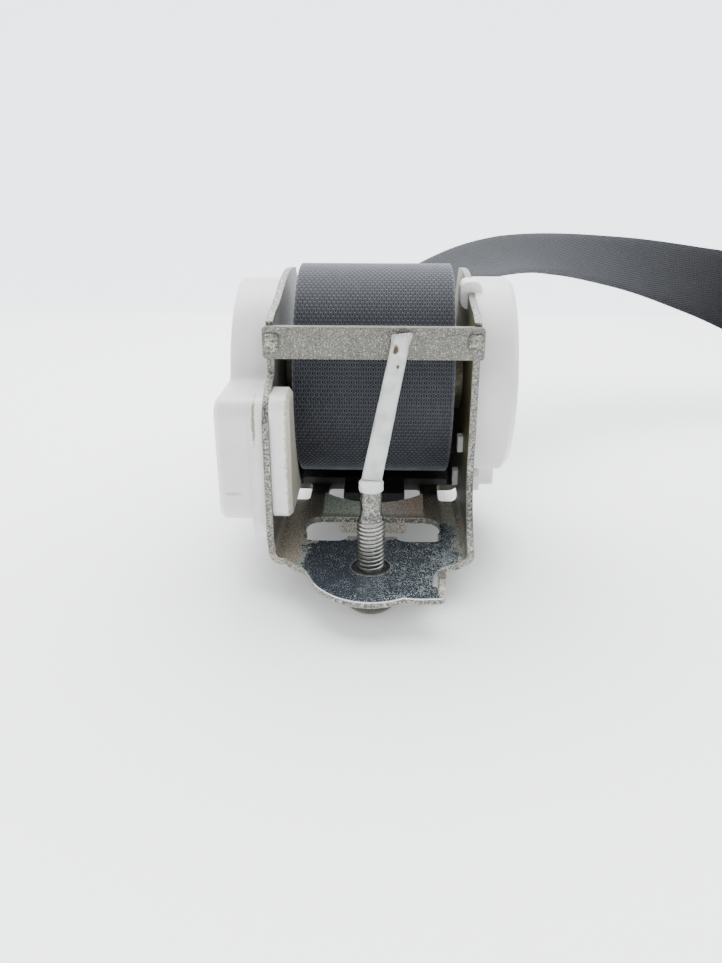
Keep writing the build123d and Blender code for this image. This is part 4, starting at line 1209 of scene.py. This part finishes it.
def plane(name, size, place, turn=(0, 0, 0)):
    clearSelection()
    bpy.ops.mesh.primitive_plane_add(size=1, location=place, rotation=turn)
    piece = bpy.context.object
    piece.name = name
    piece.scale = (size[0], size[1], 1)
    settle(piece)
    return piece


def paleSurface(piece):
    colour, glow = stageLook[piece.name]
    material, tree, shader = startMaterial(piece.name, stand["roughness"])
    shader.inputs["Base Color"].default_value = (*colour, 1.0)
    shader.inputs["Specular IOR Level"].default_value = stand["gloss"]
    shader.inputs["Emission Color"].default_value = stand["glow"]
    shader.inputs["Emission Strength"].default_value = glow
    piece.data.materials.append(material)
    return tree, shader


def paleStage():
    # The table ends behind the part, and the wall stands far enough off for a view from behind
    deep = stand["table"][1]
    table = plane("table", stand["table"], (0, stand["tableEnd"] - deep / 2, stand["low"]))
    slab = table.modifiers.new("slab", "SOLIDIFY")
    slab.thickness = stand["slab"]
    slab.offset = -1
    applyAll(table)
    ground, wall = stand["ground"], stand["wall"]
    roomFloor = plane("roomFloor", stand["room"], (0, wall - stand["room"][1] / 2, ground))
    wallMiddle = ground + stand["wallSize"][1] / 2
    backdrop = plane("backdrop", stand["wallSize"], (0, wall, wallMiddle), (math.pi / 2, 0, 0))
    tree, shader = paleSurface(table)
    paleSurface(roomFloor)
    paleSurface(backdrop)
    # Painted shadow: the table glows less and is darker where the part stands
    _, x, y, _ = coordinates(tree)
    away = reachFrom(tree, x, calc(tree, "SUBTRACT", y, stand["middle"]))
    shade = mixColour(tree, ramped(tree, away, *stand["under"]), stand["shade"], stageLook["table"][0])
    tree.links.new(shade, shader.inputs["Base Color"])
    fade = calc(tree, "MULTIPLY", ramped(tree, away, *stand["fade"]), stand["moreGlow"])
    tree.links.new(calc(tree, "ADD", fade, stand["leastGlow"]), shader.inputs["Emission Strength"])


def softLight(name, place, aim, size, power):
    data = bpy.data.lights.new(name, "AREA")
    data.shape = "RECTANGLE"
    data.size, data.size_y = size
    data.energy = power
    lamp = bpy.data.objects.new(name, data)
    bpy.context.collection.objects.link(lamp)
    lamp.location = place
    lamp.visible_camera = False
    lamp.rotation_euler = (Vector(aim) - Vector(place)).to_track_quat("-Z", "Y").to_euler()


paleStage()
for name, values in lamps.items():
    softLight(name, *values)
world = bpy.data.worlds.new("paleRoom")
world.use_nodes = True
background = world.node_tree.nodes["Background"]
background.inputs["Color"].default_value = stand["air"]
background.inputs["Strength"].default_value = stand["airLight"]
bpy.context.scene.world = world

# The sensor is in millimetres, the angles are in degrees
lens = {"focalPixels": 790.0, "frameHeight": 963.0, "sensor": 36.0, "pitch": 22.5, "yaw": 2.0}
cameraPlace = Vector((4.2, -200.4, 111.4)) * mm
cameraData = bpy.data.cameras.new("viewCamera")
cameraData.sensor_fit = "VERTICAL"
cameraData.sensor_height = lens["sensor"]
cameraData.lens = lens["focalPixels"] / lens["frameHeight"] * lens["sensor"]
cameraData.clip_start = 0.01
camera = bpy.data.objects.new("viewCamera", cameraData)
bpy.context.collection.objects.link(camera)
camera.location = cameraPlace
camera.rotation_euler = (math.radians(90 - lens["pitch"]), 0, math.radians(lens["yaw"]))
bpy.context.scene.camera = camera
print("stage and camera done")
